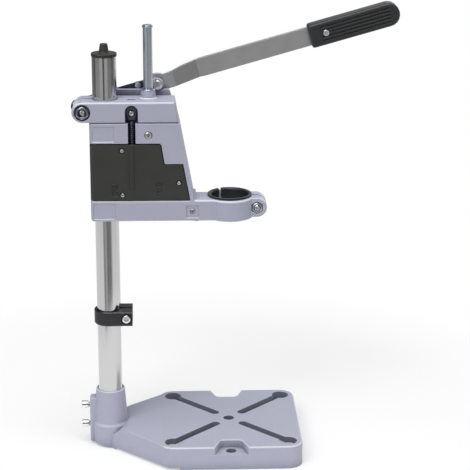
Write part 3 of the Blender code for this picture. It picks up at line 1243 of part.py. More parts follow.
def make_bar(steel):
    """The cranked flat steel bar."""
    front = BAR_FRONT_Y
    back = front + BAR_THICKNESS
    crank = BAR_CRANK_DEPTH
    end = BAR_LENGTH
    start = -BAR_END_REACH - BAR_NECK_HALF
    strip = [(start, front), (BAR_CRANK_START, front), (BAR_CRANK_END, front + crank), (end, front + crank),
             (end, back + crank), (BAR_CRANK_END, back + crank), (BAR_CRANK_START, back), (start, back)]
    made = prism("lever_bar", "XY", strip, -BAR_SWELL_RADIUS, BAR_SWELL_RADIUS)
    far = back + crank + OVERRUN
    side = prism("side", "XZ", bar_outline(), front - OVERRUN, far)
    swell = rod("swell", "Y", (0, 0, 0), BAR_SWELL_RADIUS - GAP, front - OVERRUN, far, SIDES_LARGE)
    tail = rod("tail", "Y", (-BAR_END_REACH, 0, 0), BAR_NECK_HALF, front - OVERRUN, far, SIDES_LARGE)
    add(side, swell, tail)
    combine(made, [side], "INTERSECT")
    tools = [rod("pivot", "Y", (0, 0, 0), PIVOT_BOLT_RADIUS + GAP, front - OVERRUN, far),
             rod("screw", "Y", (GRIP_SCREW_REACH, 0, 0), GRIP_SCREW_RADIUS + GAP, front - OVERRUN, far)]
    for reach in (RIVET_NEAR, RIVET_FAR):
        tools.append(rod("rivet", "Y", (-reach, 0, RIVET_OFFSET), RIVET_RADIUS + GAP, front - OVERRUN, far))
    cut(made, *tools)
    return finish(swing(made), steel)


def bar_outline():
    """The bar's width along its length: narrow to the crank, full width beyond it."""
    half = [(-BAR_END_REACH, BAR_NECK_HALF), (BAR_CRANK_START, BAR_NECK_HALF),
            (BAR_CRANK_END, BAR_HALF - CAST_EDGE / 2),
            (BAR_CRANK_END + BAR_THICKNESS, BAR_HALF), (BAR_LENGTH, BAR_HALF)]
    return [(u, -w) for u, w in half] + [(u, w) for u, w in reversed(half)]


def fulcrum_at_rest():
    """Where the fulcrum lies in the level lever's own plane when the lever is up."""
    angle = math.radians(LEVER_DEG)
    across = LOBE_X - PIVOT_X
    down = LOBE_Z - PIVOT_Z
    along = across * math.cos(angle) + down * math.sin(angle)
    return along, down * math.cos(angle) - across * math.sin(angle)


def make_inner_arm(black):
    """The black plate from the bar to the fulcrum, with the slot that lets the fulcrum slide."""
    pin_x, pin_z = fulcrum_at_rest()
    half = (ARM_PLATE_TOP + ARM_PLATE_BOTTOM) / 2
    middle = (ARM_PLATE_TOP - ARM_PLATE_BOTTOM) / 2
    points = [(-ARM_PLATE_START, -ARM_PLATE_BOTTOM), (-ARM_PLATE_START, ARM_PLATE_TOP)]
    points += arc((pin_x - ARM_PLATE_END, middle), half, 90, 270)
    front = ARM_PLATE_FRONT_Y
    made = prism("lever_inner_arm", "XZ", points, front, ARM_PLATE_BACK_Y)
    height = pin_z + FULCRUM_SLOT_RISE
    near = pin_x + FULCRUM_SLOT_BEFORE - FULCRUM_SLOT_HALF
    far = pin_x - FULCRUM_SLOT_AFTER + FULCRUM_SLOT_HALF
    slot = arc((near, height), FULCRUM_SLOT_HALF, -90, 90) + arc((far, height), FULCRUM_SLOT_HALF, 90, 270)
    back = ARM_PLATE_BACK_Y + OVERRUN
    tools = [prism("slot", "XZ", slot, front - OVERRUN, back)]
    for reach in (RIVET_NEAR, RIVET_FAR):
        tools.append(rod("rivet", "Y", (-reach, 0, RIVET_OFFSET), RIVET_RADIUS + GAP, front - OVERRUN, back))
    cut(made, *tools)
    return finish(swing(made), black)


def make_rivet(name, reach, steel):
    """A rivet through the inner arm and the bar."""
    front = ARM_PLATE_FRONT_Y - GAP
    back = BAR_FRONT_Y + BAR_THICKNESS + GAP
    place = (-reach, 0, RIVET_OFFSET)
    made = rod(name, "Y", place, RIVET_HEAD_RADIUS, front - RIVET_FRONT_LENGTH, front)
    add(made, rod("shank", "Y", place, RIVET_RADIUS, front - RIVET_FRONT_LENGTH / 2,
                  back + RIVET_BACK_LENGTH / 2))
    add(made, rod("tail", "Y", place, RIVET_HEAD_RADIUS, back, back + RIVET_BACK_LENGTH))
    return finish(swing(made), steel)


def make_pivot_bolt(steel):
    """The bolt that the lever turns on."""
    washer = BACK_PLATE_FRONT - GAP - PIVOT_WASHER_LENGTH
    seat = washer - GAP
    head = (PIVOT_HEAD_RADIUS, seat - PIVOT_HEAD_LENGTH, seat)
    nut_end = BAR_FRONT_Y + BAR_THICKNESS + GAP + PIVOT_NUT_LENGTH
    shank = (PIVOT_BOLT_RADIUS, seat, nut_end + THREAD_STICK_OUT)
    return finish(headed_screw("pivot_bolt", "Y", (PIVOT_X, 0, PIVOT_Z), head, shank), steel)


def make_pivot_washer(steel):
    """The washer under the pivot bolt's head."""
    end = BACK_PLATE_FRONT - GAP
    made = tube("pivot_washer", "Y", (PIVOT_X, 0, PIVOT_Z), PIVOT_BOLT_RADIUS + GAP, PIVOT_WASHER_RADIUS,
                end - PIVOT_WASHER_LENGTH, end, SIDES_MEDIUM)
    return finish(made, steel)


def make_pivot_spacer(steel):
    """The ring between the ear and the lever."""
    made = tube("pivot_spacer", "Y", (PIVOT_X, 0, PIVOT_Z), PIVOT_BOLT_RADIUS + GAP, PIVOT_SPACER_RADIUS,
                BACK_PLATE_BACK + GAP, BAR_FRONT_Y - GAP, SIDES_MEDIUM)
    return finish(made, steel)


def grip_middle_y():
    """The depth of the grip's middle plane."""
    return BAR_FRONT_Y + BAR_CRANK_DEPTH + BAR_THICKNESS / 2


def make_grip(black):
    """The grip: a rounded black handle with grooves along both faces."""
    round_end = arc((GRIP_END - GRIP_HALF_WIDTH, 0), GRIP_HALF_WIDTH, -90, 90)
    points = [(GRIP_START, -GRIP_HALF_WIDTH), *round_end, (GRIP_START, GRIP_HALF_WIDTH)]
    middle = grip_middle_y()
    made = prism("grip", "XZ", points, middle - GRIP_HALF_THICKNESS, middle + GRIP_HALF_THICKNESS, GRIP_EDGE)
    slot_half = BAR_THICKNESS / 2 + GAP
    slot_low = (GRIP_START - OVERRUN, middle - slot_half, -BAR_HALF - GAP)
    tools = [box("bar", slot_low, (BAR_LENGTH + GAP, middle + slot_half, BAR_HALF + GAP))]
    for index in range(GRIP_GROOVES):
        height = (index - (GRIP_GROOVES - 1) / 2) * GRIP_GROOVE_PITCH
        for side in (-1, 1):
            outer = middle + side * (GRIP_HALF_THICKNESS + OVERRUN)
            inner = middle + side * (GRIP_HALF_THICKNESS - GRIP_GROOVE_DEPTH)
            low = (GRIP_START + GRIP_GROOVE_INSET, min(outer, inner), height - GRIP_GROOVE_HALF)
            high = (GRIP_END - GRIP_GROOVE_STOP, max(outer, inner), height + GRIP_GROOVE_HALF)
            tools.append(box("groove", low, high))
    front = middle - GRIP_HALF_THICKNESS
    place = (GRIP_SCREW_REACH, 0, 0)
    head = GRIP_SCREW_HEAD_LENGTH
    tools.append(rod("recess", "Y", place, GRIP_SCREW_HEAD_RADIUS + GAP, front - OVERRUN,
                     front + head + GAP))
    tools.append(rod("hole", "Y", place, GRIP_SCREW_RADIUS + GAP, front - OVERRUN,
                     front + GRIP_SCREW_LENGTH + head))
    cut(made, *tools)
    return finish(swing(made), black)


def make_grip_screw(steel):
    """The screw that holds the grip on the bar."""
    front = grip_middle_y() - GRIP_HALF_THICKNESS
    seat = front + GRIP_SCREW_HEAD_LENGTH
    head = (GRIP_SCREW_HEAD_RADIUS, front, seat)
    shank = (GRIP_SCREW_RADIUS, seat, front + GRIP_SCREW_LENGTH)
    return finish(swing(headed_screw("grip_screw", "Y", (GRIP_SCREW_REACH, 0, 0), head, shank)), steel)


def main():
    clear_scene()
    cast = paint("cast_paint", (0.36, 0.36, 0.44), 0.5, 0.0)
    chrome = paint("chrome", (0.62, 0.62, 0.62), 0.2, 1.0)
    steel = paint("steel", (0.45, 0.45, 0.46), 0.4, 1.0)
    zinc = paint("zinc", (0.55, 0.60, 0.66), 0.3, 1.0)
    black = paint("black_plastic", (0.03, 0.03, 0.03), 0.5, 0.0)
    dark = paint("dark_metal", (0.06, 0.06, 0.07), 0.45, 0.6)
    stud_place = (LOBE_X, 0, LOBE_Z)
    lug_place = (LUG_X, 0, LUG_Z)
    pivot_place = (PIVOT_X, 0, PIVOT_Z)
    ring_place = (RING_SCREW_X, 0, RING_BOTTOM_Z + RING_HEIGHT / 2)
    base = [make_base(cast), make_socket_bolt("socket_bolt_upper", SOCKET_BOLT_UPPER_Z, zinc),
            make_socket_bolt("socket_bolt_lower", SOCKET_BOLT_LOWER_Z, zinc)]
    column = [make_column(chrome), make_cap(black)]
    ring = [make_stop_ring(dark), make_ring_screw(dark),
            make_nut("stop_ring_nut", ring_place, RING_NUT_RADIUS, RING_SCREW_RADIUS, RING_LUG_BACK + GAP,
                     RING_NUT_LENGTH, steel)]
    front_nut = -FRONT_DEPTH + LOBE_BORE_DEPTH - GAP - CLAMP_NUT_LENGTH
    fulcrum_nut = ARM_PLATE_BACK_Y + 2 * GAP + FULCRUM_WASHER_LENGTH
    head = [make_head(cast), make_stud(zinc),
            make_nut("clamp_front_nut", stud_place, CLAMP_NUT_RADIUS, STUD_RADIUS, front_nut,
                     CLAMP_NUT_LENGTH, dark),
            make_nut("clamp_rear_nut", stud_place, CLAMP_NUT_RADIUS, STUD_RADIUS, HEAD_BACK_DEPTH + GAP,
                     CLAMP_NUT_LENGTH, zinc),
            make_fulcrum_washer(zinc),
            make_nut("fulcrum_nut", stud_place, FULCRUM_NUT_RADIUS, FULCRUM_RADIUS, fulcrum_nut,
                     FULCRUM_NUT_LENGTH, zinc),
            make_guide(zinc), make_eye(dark), make_eye_screw(steel), make_spring(dark)]
    pivot_nut = BAR_FRONT_Y + BAR_THICKNESS + GAP
    carriage = [make_carriage(cast), make_bush("upper_bush", BAND_BOTTOM_Z + CAST_EDGE,
                                               CARRIAGE_TOP_Z - CAST_EDGE, black),
                make_bush("lower_bush", ARM_BOTTOM_Z + CAST_EDGE, ARM_TOP_Z - CAST_EDGE, black),
                make_cover(black), *make_cover_screws(zinc), make_insert(black), make_collar_bolt(zinc),
                make_nut("collar_nut", lug_place, COLLAR_NUT_RADIUS, COLLAR_BOLT_RADIUS, collar_nut_front(),
                         COLLAR_NUT_LENGTH, zinc),
                make_set_screw(zinc), make_rod(zinc), make_rod_ring(zinc), make_rod_screw(zinc),
                make_pivot_bolt(zinc), make_pivot_washer(zinc), make_pivot_spacer(zinc),
                make_nut("pivot_nut", pivot_place, PIVOT_NUT_RADIUS, PIVOT_BOLT_RADIUS, pivot_nut,
                         PIVOT_NUT_LENGTH, zinc)]
    lever = [make_bar(steel), make_inner_arm(dark), make_rivet("lever_rivet_near", RIVET_NEAR, zinc),
             make_rivet("lever_rivet_far", RIVET_FAR, zinc), make_grip(black), make_grip_screw(dark)]
    stand = carry("stand", (0, 0, 0), None, base)
    swivel = carry("column_axis", (0, 0, COLUMN_FOOT_Z), stand, column)
    carry("stop_ring_axis", (0, 0, RING_BOTTOM_Z), swivel, ring)
    sleeve = carry("head_axis", (0, 0, HEAD_BOTTOM_Z), swivel, head)
    slide = carry("carriage_axis", (0, 0, CARRIAGE_TOP_Z), sleeve, carriage)
    carry("lever_pivot", pivot_place, slide, lever)


main()
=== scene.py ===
# %% [markdown]
# A drill stand, dressed for a studio picture
# The packed CAD model gives the fixed frame: six bodies that move on joints, and 42 solid nodes.
# This lesson keeps that frame and gives every node a real surface: rounded castings, turned steel, a wound
# spring, moulded plastic. Each cell says what a piece is and how it could be made, and then makes it.

# %% Load the frame
import json
import math

import bmesh
import bpy
from mathutils import Matrix, Vector
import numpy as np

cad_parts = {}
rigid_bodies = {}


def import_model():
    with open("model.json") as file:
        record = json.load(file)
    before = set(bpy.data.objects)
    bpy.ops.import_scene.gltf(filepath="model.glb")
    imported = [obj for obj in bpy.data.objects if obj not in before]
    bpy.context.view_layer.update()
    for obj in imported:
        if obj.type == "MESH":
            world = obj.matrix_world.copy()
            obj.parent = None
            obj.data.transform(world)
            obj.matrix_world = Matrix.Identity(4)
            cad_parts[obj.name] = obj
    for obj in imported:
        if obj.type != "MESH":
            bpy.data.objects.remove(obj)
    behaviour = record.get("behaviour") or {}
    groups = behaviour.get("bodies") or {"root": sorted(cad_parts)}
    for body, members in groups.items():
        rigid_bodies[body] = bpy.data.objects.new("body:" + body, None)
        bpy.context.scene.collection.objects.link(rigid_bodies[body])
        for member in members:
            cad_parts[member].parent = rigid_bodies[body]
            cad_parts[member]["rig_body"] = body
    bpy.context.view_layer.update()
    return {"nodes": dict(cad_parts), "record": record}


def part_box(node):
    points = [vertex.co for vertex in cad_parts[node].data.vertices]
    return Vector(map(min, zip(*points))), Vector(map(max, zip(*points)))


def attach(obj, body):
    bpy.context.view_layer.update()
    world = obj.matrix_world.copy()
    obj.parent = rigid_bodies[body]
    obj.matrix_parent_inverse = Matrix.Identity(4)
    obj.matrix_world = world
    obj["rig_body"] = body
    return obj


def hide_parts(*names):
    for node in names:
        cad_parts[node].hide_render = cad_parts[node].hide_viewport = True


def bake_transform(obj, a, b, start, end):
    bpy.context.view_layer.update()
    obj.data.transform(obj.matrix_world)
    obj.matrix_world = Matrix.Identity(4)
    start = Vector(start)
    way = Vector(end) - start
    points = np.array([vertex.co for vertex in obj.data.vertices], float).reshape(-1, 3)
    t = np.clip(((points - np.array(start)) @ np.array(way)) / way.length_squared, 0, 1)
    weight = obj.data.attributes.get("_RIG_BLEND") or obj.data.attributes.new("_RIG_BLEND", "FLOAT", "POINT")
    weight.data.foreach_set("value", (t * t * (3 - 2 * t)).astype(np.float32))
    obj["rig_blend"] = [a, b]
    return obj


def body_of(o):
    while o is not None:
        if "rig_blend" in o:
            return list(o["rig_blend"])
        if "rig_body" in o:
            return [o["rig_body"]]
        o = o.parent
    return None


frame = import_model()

nodes = frame["nodes"]
MM = 0.001
CIRCLE = 2 * math.pi

# %% [markdown]
# The camera
# The picture is square and taken with a long lens from a little above and a little to the left. A camera is
# aimed with three directions: right, up and back. Two angles give the back direction, and a third one rolls
# the picture about it.

# %% Camera
CAMERA_YAW_DEG = -2.687
CAMERA_PITCH_DEG = 17.544
CAMERA_ROLL_DEG = 0.302
CAMERA_DISTANCE = 1.6624
CAMERA_TARGET = Vector((0.13594, 0, 0.23816))
SENSOR_MM = 36
LENS_MM = 119.11


def aim_camera():
    """A camera that looks at its target along two angles, rolled by a third."""
    yaw, pitch, roll = (math.radians(a) for a in (CAMERA_YAW_DEG, CAMERA_PITCH_DEG, CAMERA_ROLL_DEG))
    back = Vector((math.sin(yaw) * math.cos(pitch), -math.cos(yaw) * math.cos(pitch), math.sin(pitch)))
    level = Vector((math.cos(yaw), math.sin(yaw), 0))
    upright = back.cross(level)
    right = level * math.cos(roll) + upright * math.sin(roll)
    up = upright * math.cos(roll) - level * math.sin(roll)
    lens = bpy.data.cameras.new("camera")
    lens.sensor_width = SENSOR_MM
    lens.lens = LENS_MM
    made = bpy.data.objects.new("camera", lens)
    bpy.context.scene.collection.objects.link(made)
    made.matrix_world = Matrix.Translation(CAMERA_TARGET + back * CAMERA_DISTANCE) @ Matrix(
        (right, up, back)).transposed().to_4x4()
    bpy.context.scene.camera = made
    return made


camera = aim_camera()
bpy.context.scene.view_settings.view_transform = "Standard"
print("camera at", [round(x, 3) for x in camera.matrix_world.translation])

# %% [markdown]
# Node materials as plain sums
# A material is a tree of nodes. Written out link by link it can't be read, so one small class wraps a socket:
# a sum or a product of two wires adds the Math node that works it out, and add() makes any other node.

# %% A wire between shader nodes


class Wire:
    """One output socket of a node tree, for use in plain Python sums."""

    def __init__(self, tree, socket=None):
        self.tree = tree
        self.socket = socket

    def add(self, kind, settings=None, sockets=None, output=0):
        """Adds a node: its settings first, then the values or links of its sockets."""
        node = self.tree.nodes.new(kind)
        for name, value in (settings or {}).items():
            if name == "stops":
                lay_stops(node.color_ramp, value)
            else:
                setattr(node, name, value)
        for name, value in (sockets or {}).items():
            if isinstance(value, Wire):
                self.tree.links.new(value.socket, node.inputs[name])
            else:
                node.inputs[name].default_value = value
        return Wire(self.tree, node.outputs[output])

    def maths(self, operation, left, right):
        """A Math node between two wires or numbers."""
        return self.add("ShaderNodeMath", {"operation": operation}, {0: left, 1: right})

    def __add__(self, other):
        return self.maths("ADD", self, other)

    def __radd__(self, other):
        return self.maths("ADD", other, self)

    def __sub__(self, other):
        return self.maths("SUBTRACT", self, other)

    def __rsub__(self, other):
        return self.maths("SUBTRACT", other, self)

    def __mul__(self, other):
        return self.maths("MULTIPLY", self, other)

    def __rmul__(self, other):
        return self.maths("MULTIPLY", other, self)

    def __gt__(self, other):
        return self.maths("GREATER_THAN", self, other)

    def __lt__(self, other):
        return self.maths("LESS_THAN", self, other)


def lay_stops(ramp, stops):
    """Sets a colour ramp's stops, given as (place, grey or colour)."""
    while len(ramp.elements) > 1:
        ramp.elements.remove(ramp.elements[-1])
    for index, (place, value) in enumerate(stops):
        stop = ramp.elements[0] if index == 0 else ramp.elements.new(place)
        stop.position = place
        stop.color = (value, value, value, 1) if isinstance(value, (int, float)) else (*value, 1)


print("made:", Wire.__name__, "-", Wire.__doc__)

# %% [markdown]
# What the finishes share
# Paint, plastic and steel differ in colour, but all of them are a little uneven: fine grain, slow clouds of
# lighter and darker, and edges that are paler because hands and boxes rub them; on the paint that paleness is
# also a painted highlight. Object coordinates keep each pattern fixed on its piece, at a real size.

# %% Patterns that the finishes share
MIX_FACTOR, MIX_A, MIX_B, MIX_RESULT = 0, 6, 7, 2


def place_of(sheet):
    """Where a point lies, in metres."""
    return sheet.add("ShaderNodeTexCoord", output="Object")


def grain(sheet, size, detail=2.0, stretch=(1, 1, 1)):
    """Noise from 0 to 1 whose blobs are about size across; stretch draws it out along an axis."""
    scale = tuple(1 / (size * reach) for reach in stretch)
    spread = sheet.add("ShaderNodeMapping", None, {"Vector": place_of(sheet), "Scale": scale})
    return sheet.add("ShaderNodeTexNoise", None, {"Vector": spread, "Scale": 1.0, "Detail": detail})


def ramp(sheet, value, *stops):
    """A value drawn through stops of (place, grey or colour)."""
    return sheet.add("ShaderNodeValToRGB", {"stops": stops}, {"Fac": value})


def between(sheet, share, first, second):
    """A colour that goes from first to second as share goes from 0 to 1."""
    first, second = ((*c, 1) if isinstance(c, tuple) else c for c in (first, second))
    return sheet.add("ShaderNodeMix", {"data_type": "RGBA"}, {MIX_FACTOR: share, MIX_A: first, MIX_B: second},
                     MIX_RESULT)

# %% Masks: edges and rims


def edges(sheet, width):
    """1 along a piece's edges, 0 on its faces: how far a rounded normal turns from the flat one."""
    soft = sheet.add("ShaderNodeBevel", {"samples": 4}, {"Radius": width})
    flat = sheet.add("ShaderNodeNewGeometry", output="Normal")
    match = sheet.add("ShaderNodeVectorMath", {"operation": "DOT_PRODUCT"}, {0: soft, 1: flat}, "Value")
    return ramp(sheet, 1 - match, (0.02, 0.0), (0.16, 1.0))


def size_of(sheet, value):
    """A value without its sign."""
    return sheet.maths("MAXIMUM", value, 0 - value)


def part_of(sheet, vector, axis):
    """One part of a vector: X, Y or Z."""
    return sheet.add("ShaderNodeSeparateXYZ", None, {0: vector}, axis)


def rims(sheet):
    """1 on surfaces that are neither upright nor level: on a casting those are its rounded rims, which get a
    painted highlight.
    """
    normal = sheet.add("ShaderNodeNewGeometry", output="Normal")
    tilt = size_of(sheet, part_of(sheet, normal, "Z"))
    return ramp(sheet, tilt, (0.25, 0.0), (0.5, 1.0), (0.82, 1.0), (0.97, 0.0))

# %% Masks: places on the base
NECK_END_X = 58 * MM
HUB_RIMS_TOP = 60 * MM


def near_hub(sheet):
    """1 on the base's neck, hub and rib, whose rims are too small to shine."""
    point = place_of(sheet)
    return (part_of(sheet, point, "X") < NECK_END_X) * (part_of(sheet, point, "Z") < HUB_RIMS_TOP)


TABLE_X = 130 * MM
SLOT_BAND = 14 * MM
SLOT_REACH = 71 * MM
SLOT_MOUTH = 25.3 * MM


def slot_walls(sheet):
    """1 on the walls inside the table's diagonal slots, which almost no light reaches."""
    point = place_of(sheet)
    along = size_of(sheet, part_of(sheet, point, "X") - TABLE_X)
    across = size_of(sheet, part_of(sheet, point, "Y"))
    off_diagonal = size_of(sheet, along - across)
    outward = sheet.maths("MAXIMUM", along, across)
    below = part_of(sheet, point, "Z") < SLOT_MOUTH
    return (off_diagonal < SLOT_BAND) * (outward < SLOT_REACH) * below

# %% Shade and bumps


def shade(sheet, reach, dark, bare):
    """Painted shade: 1 in slots and corners, 0 on open faces; dark and bare are the free shares of space for
    the two.
    """
    free = sheet.add("ShaderNodeAmbientOcclusion", {"samples": 4}, {"Distance": reach}, "AO")
    return ramp(sheet, free, (dark, 1.0), (bare, 0.0))


def bumped(sheet, height, depth, strength, soften):
    """A normal bent by a height pattern that is depth metres high; soften rounds sharp edges by a radius."""
    soft = sheet.add("ShaderNodeBevel", {"samples": 4}, {"Radius": soften})
    return sheet.add("ShaderNodeBump", None,
                     {"Height": height, "Distance": depth, "Strength": strength, "Normal": soft})

# %% An empty finish


def new_finish(name):
    """An empty node material: its first wire, and its Principled shader's sockets."""
    made = bpy.data.materials.new(name)
    made.use_nodes = True
    shader = made.node_tree.nodes["Principled BSDF"]
    return made, Wire(made.node_tree), shader


def wire_up(sheet, shader, **sockets):
    """Links wires to the shader's sockets, or sets their plain values."""
    for name, value in sockets.items():
        label = name.replace("_", " ")
        if isinstance(value, Wire):
            sheet.tree.links.new(value.socket, shader.inputs[label])
        else:
            shader.inputs[label].default_value = (*value, 1) if isinstance(value, tuple) else value

# %% [markdown]
# Paint on die-cast metal
# The castings wear a satin lilac-grey paint. It is sprayed, so it has a fine orange peel and a light speckle,
# and it lies thinner, and so a little paler, over edges, which is also a painted highlight; tilted rims get a
# painted highlight too. Noise does the speckle, a rounded normal compared with the flat one finds the edges,
# and ambient occlusion finds the slots and corners, which get painted shade.

# %% Finish: cast paint
PAINT = (0.435, 0.440, 0.545)
PAINT_DEEP = (0.375, 0.382, 0.480)
THIN_PAINT_AND_SHEEN = (0.62, 0.625, 0.71)
PAINTED_RIM_HIGHLIGHT = (0.78, 0.79, 0.86)
PAINTED_HOLLOW_SHADE = (0.095, 0.108, 0.155)
SHADE_REACH = 28 * MM
SPECKLE_SIZE = 0.8 * MM
CLOUD_SIZE = 30 * MM
PEEL_SIZE = 1.1 * MM
PEEL_DEPTH = 0.05 * MM
THIN_AND_SHEEN_WIDTH = 1.0 * MM
PAINT_SOFTNESS = 0.7 * MM


def make_cast_paint():
    """Satin lilac-grey paint: speckle, orange peel, thin edges with a painted highlight, and painted shade.
    """
    made, sheet, shader = new_finish("cast_paint")
    speckle = ramp(sheet, grain(sheet, SPECKLE_SIZE, 3.0), (0.36, 0.0), (0.66, 1.0))
    cloud = grain(sheet, CLOUD_SIZE)
    colour = between(sheet, speckle * 0.55 + cloud * 0.45, PAINT_DEEP, PAINT)
    # Paler edges: thinner paint, and a painted highlight.
    colour = between(sheet, edges(sheet, THIN_AND_SHEEN_WIDTH) * 0.3, colour, THIN_PAINT_AND_SHEEN)
    # Painted highlight on the tilted rounded rims, weaker on the neck, hub and rib.
    colour = between(sheet, rims(sheet) * (0.6 - 0.48 * near_hub(sheet)), colour, PAINTED_RIM_HIGHLIGHT)
    # Painted shade: ambient occlusion darkens the paint in corners and hollows.
    colour = between(sheet, shade(sheet, SHADE_REACH, 0.28, 0.58), colour, PAINTED_HOLLOW_SHADE)
    # Painted shade on the walls inside the table's diagonal slots.
    colour = between(sheet, slot_walls(sheet) * 0.8, colour, PAINTED_HOLLOW_SHADE)
    peel = grain(sheet, PEEL_SIZE, 1.0)
    wire_up(sheet, shader, Base_Color=colour, Roughness=0.40 + 0.12 * peel,
            Normal=bumped(sheet, peel, PEEL_DEPTH, 0.6, PAINT_SOFTNESS))
    return made


cast_paint = make_cast_paint()
print("finish:", cast_paint.name)

# %% [markdown]
# Plated and plain steel
# The column is chromed and almost a mirror, so what it shows is mostly the room. The screws and the rod are
# zinc plated, bluish and duller. The lever is flat bar that was ground along its length.

# %% Finishes: metals
METAL_HOLLOW_SHADE = (0.02, 0.022, 0.03)
METAL_SHADE_REACH = 5 * MM
WORN_STEEL = (0.85, 0.85, 0.86)
SMUDGE_SIZE = 14 * MM
BRUSH_DEPTH = 0.01 * MM


def make_metal(name, colour, dull, rough, worn, grain_size, stretch, edge_width, hollow_shade=0.8):
    """A metal: its colour and dull shade, low and high roughness, worn edges, brushing, and painted shade in
    hollows.
    """
    made, sheet, shader = new_finish(name)
    brush = grain(sheet, grain_size, 3.0, stretch)
    smudge = grain(sheet, SMUDGE_SIZE, 3.0)
    tone = between(sheet, brush * 0.5 + smudge * 0.5, dull, colour)
    tone = between(sheet, edges(sheet, edge_width) * worn, tone, WORN_STEEL)
    # Painted shade: ambient occlusion darkens the metal in recesses and around screws and nuts.
    tone = between(sheet, shade(sheet, METAL_SHADE_REACH, 0.35, 0.8) * hollow_shade, tone, METAL_HOLLOW_SHADE)
    low, high = rough
    wire_up(sheet, shader, Base_Color=tone, Metallic=1.0,
            Roughness=low + (high - low) * (brush * 0.6 + smudge * 0.4),
            Normal=bumped(sheet, brush, BRUSH_DEPTH, 0.35, edge_width))
    return made


chrome = make_metal("chrome", (0.66, 0.66, 0.66), (0.58, 0.58, 0.585), (0.10, 0.20), 0.2, 0.5 * MM,
                    (1, 1, 30), 0.3 * MM, 0.2)
zinc = make_metal("zinc", (0.68, 0.73, 0.81), (0.57, 0.62, 0.72), (0.20, 0.38), 0.4, 0.6 * MM,
                  (1, 1, 1), 0.3 * MM)
bright_steel = make_metal("bright_steel", (0.95, 0.95, 0.95), (0.84, 0.84, 0.85), (0.16, 0.28), 0.3, 0.6 * MM,
                          (1, 1, 1), 0.25 * MM, 0.45)
lever_steel = make_metal("lever_steel", (0.63, 0.63, 0.63), (0.54, 0.54, 0.54), (0.36, 0.52), 0.5, 0.35 * MM,
                         (30, 1, 8), 0.5 * MM, 0.3)
dark_metal = make_metal("dark_metal", (0.078, 0.078, 0.082), (0.052, 0.052, 0.056), (0.34, 0.50), 0.25,
                        0.8 * MM, (1, 1, 1), 0.5 * MM)
slate_steel = make_metal("slate_steel", (0.074, 0.082, 0.108), (0.050, 0.056, 0.076), (0.34, 0.50), 0.25,
                         0.8 * MM, (1, 1, 1), 0.5 * MM, 0.4)
spring_steel = make_metal("spring_steel", (0.16, 0.18, 0.24), (0.10, 0.115, 0.16), (0.34, 0.50), 0.25,
                          0.6 * MM, (1, 1, 1), 0.3 * MM, 0.35)
nut_steel = make_metal("nut_steel", (0.34, 0.36, 0.42), (0.24, 0.26, 0.31), (0.26, 0.40), 0.35, 0.6 * MM,
                       (1, 1, 1), 0.3 * MM, 0.9)
metals = (chrome, zinc, bright_steel, lever_steel, dark_metal, slate_steel, spring_steel, nut_steel)
print("finishes:", [metal.name for metal in metals])

# %% [markdown]
# Moulded plastic
# The cover, the cap and the collar's insert come from a mould with an etched, leathery face. The grip's mould
# was polished, so it is the same black with more shine.

# %% Finishes: plastics
PAINTED_CREASE_SHADE = (0.003, 0.003, 0.003)
CREASE_SHADE_REACH = 4 * MM
MOULD_CLOUD = 22 * MM
RUB_WIDTH = 0.6 * MM
RUB_GAIN = 2.2
MOULD_EDGE = 0.4 * MM


def make_plastic(name, colour, pale, rough, etch, etch_depth):
    """Black moulded plastic: an etched grain, edges rubbed paler, and painted shade in creases."""
    made, sheet, shader = new_finish(name)
    skin = grain(sheet, etch)
    cloud = grain(sheet, MOULD_CLOUD)
    tone = between(sheet, cloud * 0.5 + skin * 0.3, colour, pale)
    tone = between(sheet, edges(sheet, RUB_WIDTH) * 0.45, tone, tuple(RUB_GAIN * c for c in pale))
    # Painted shade: ambient occlusion turns creases and gaps black.
    tone = between(sheet, shade(sheet, CREASE_SHADE_REACH, 0.35, 0.75), tone, PAINTED_CREASE_SHADE)
    low, high = rough
    wire_up(sheet, shader, Base_Color=tone, Roughness=low + (high - low) * skin,
            Normal=bumped(sheet, skin, etch_depth, 0.7, MOULD_EDGE))
    return made


black_plastic = make_plastic("black_plastic", (0.022, 0.022, 0.021), (0.045, 0.045, 0.043), (0.42, 0.62),
                             0.5 * MM, 0.04 * MM)
grip_plastic = make_plastic("grip_plastic", (0.020, 0.021, 0.022), (0.034, 0.035, 0.038), (0.30, 0.46),
                            0.7 * MM, 0.03 * MM)
insert_plastic = make_plastic("insert_plastic", (0.010, 0.011, 0.015), (0.020, 0.022, 0.030), (0.35, 0.50),
                              0.5 * MM, 0.03 * MM)
print("finishes:", black_plastic.name, grip_plastic.name, insert_plastic.name)

# %% [markdown]
# Which node wears what
# Every CAD node first gets the finish of its own material, so that nothing stays bare. A node that a finer
# piece stands for is hidden later on.

# %% Finishes for the CAD nodes
FINISH_OF_SLOT = {"cast_paint": cast_paint, "chrome": chrome, "lever_steel": lever_steel, "zinc": zinc,
                  "black_plastic": black_plastic, "grip_plastic": grip_plastic, "dark_metal": dark_metal}
SLOT_OF_NODE = {row["node"]: row["material_slot"] for row in frame["record"]["subparts"]}


def wear(piece, finish):
    """Puts one finish on a piece."""
    piece.data.materials.clear()
    piece.data.materials.append(finish)
    return piece


for name, node in nodes.items():
    wear(node, FINISH_OF_SLOT[SLOT_OF_NODE[name]])
print("dressed", len(nodes), "nodes")

# %% [markdown]
# Shaping tools
# Every cast or turned piece starts from a drawn outline. Extruded, with its rims bevelled, it is a casting,
# and spun about an axis it is a turned part. Boolean steps then join and bore the pieces, as a foundry and a
# workshop would. A cutter overruns the surface that it cuts, and faces that would lie in one plane are set a
# sliver apart. Holes in castings have worn, rounded mouths, so their cutters open like a trumpet.

# %% Outlines
ARC_STEP_DEG = 10
OVERRUN = 2 * MM
WELD = 0.002 * MM
SLIVER = 0.01 * MM
NEARLY_STRAIGHT = 3.1
TRIM_SHARE = 0.48


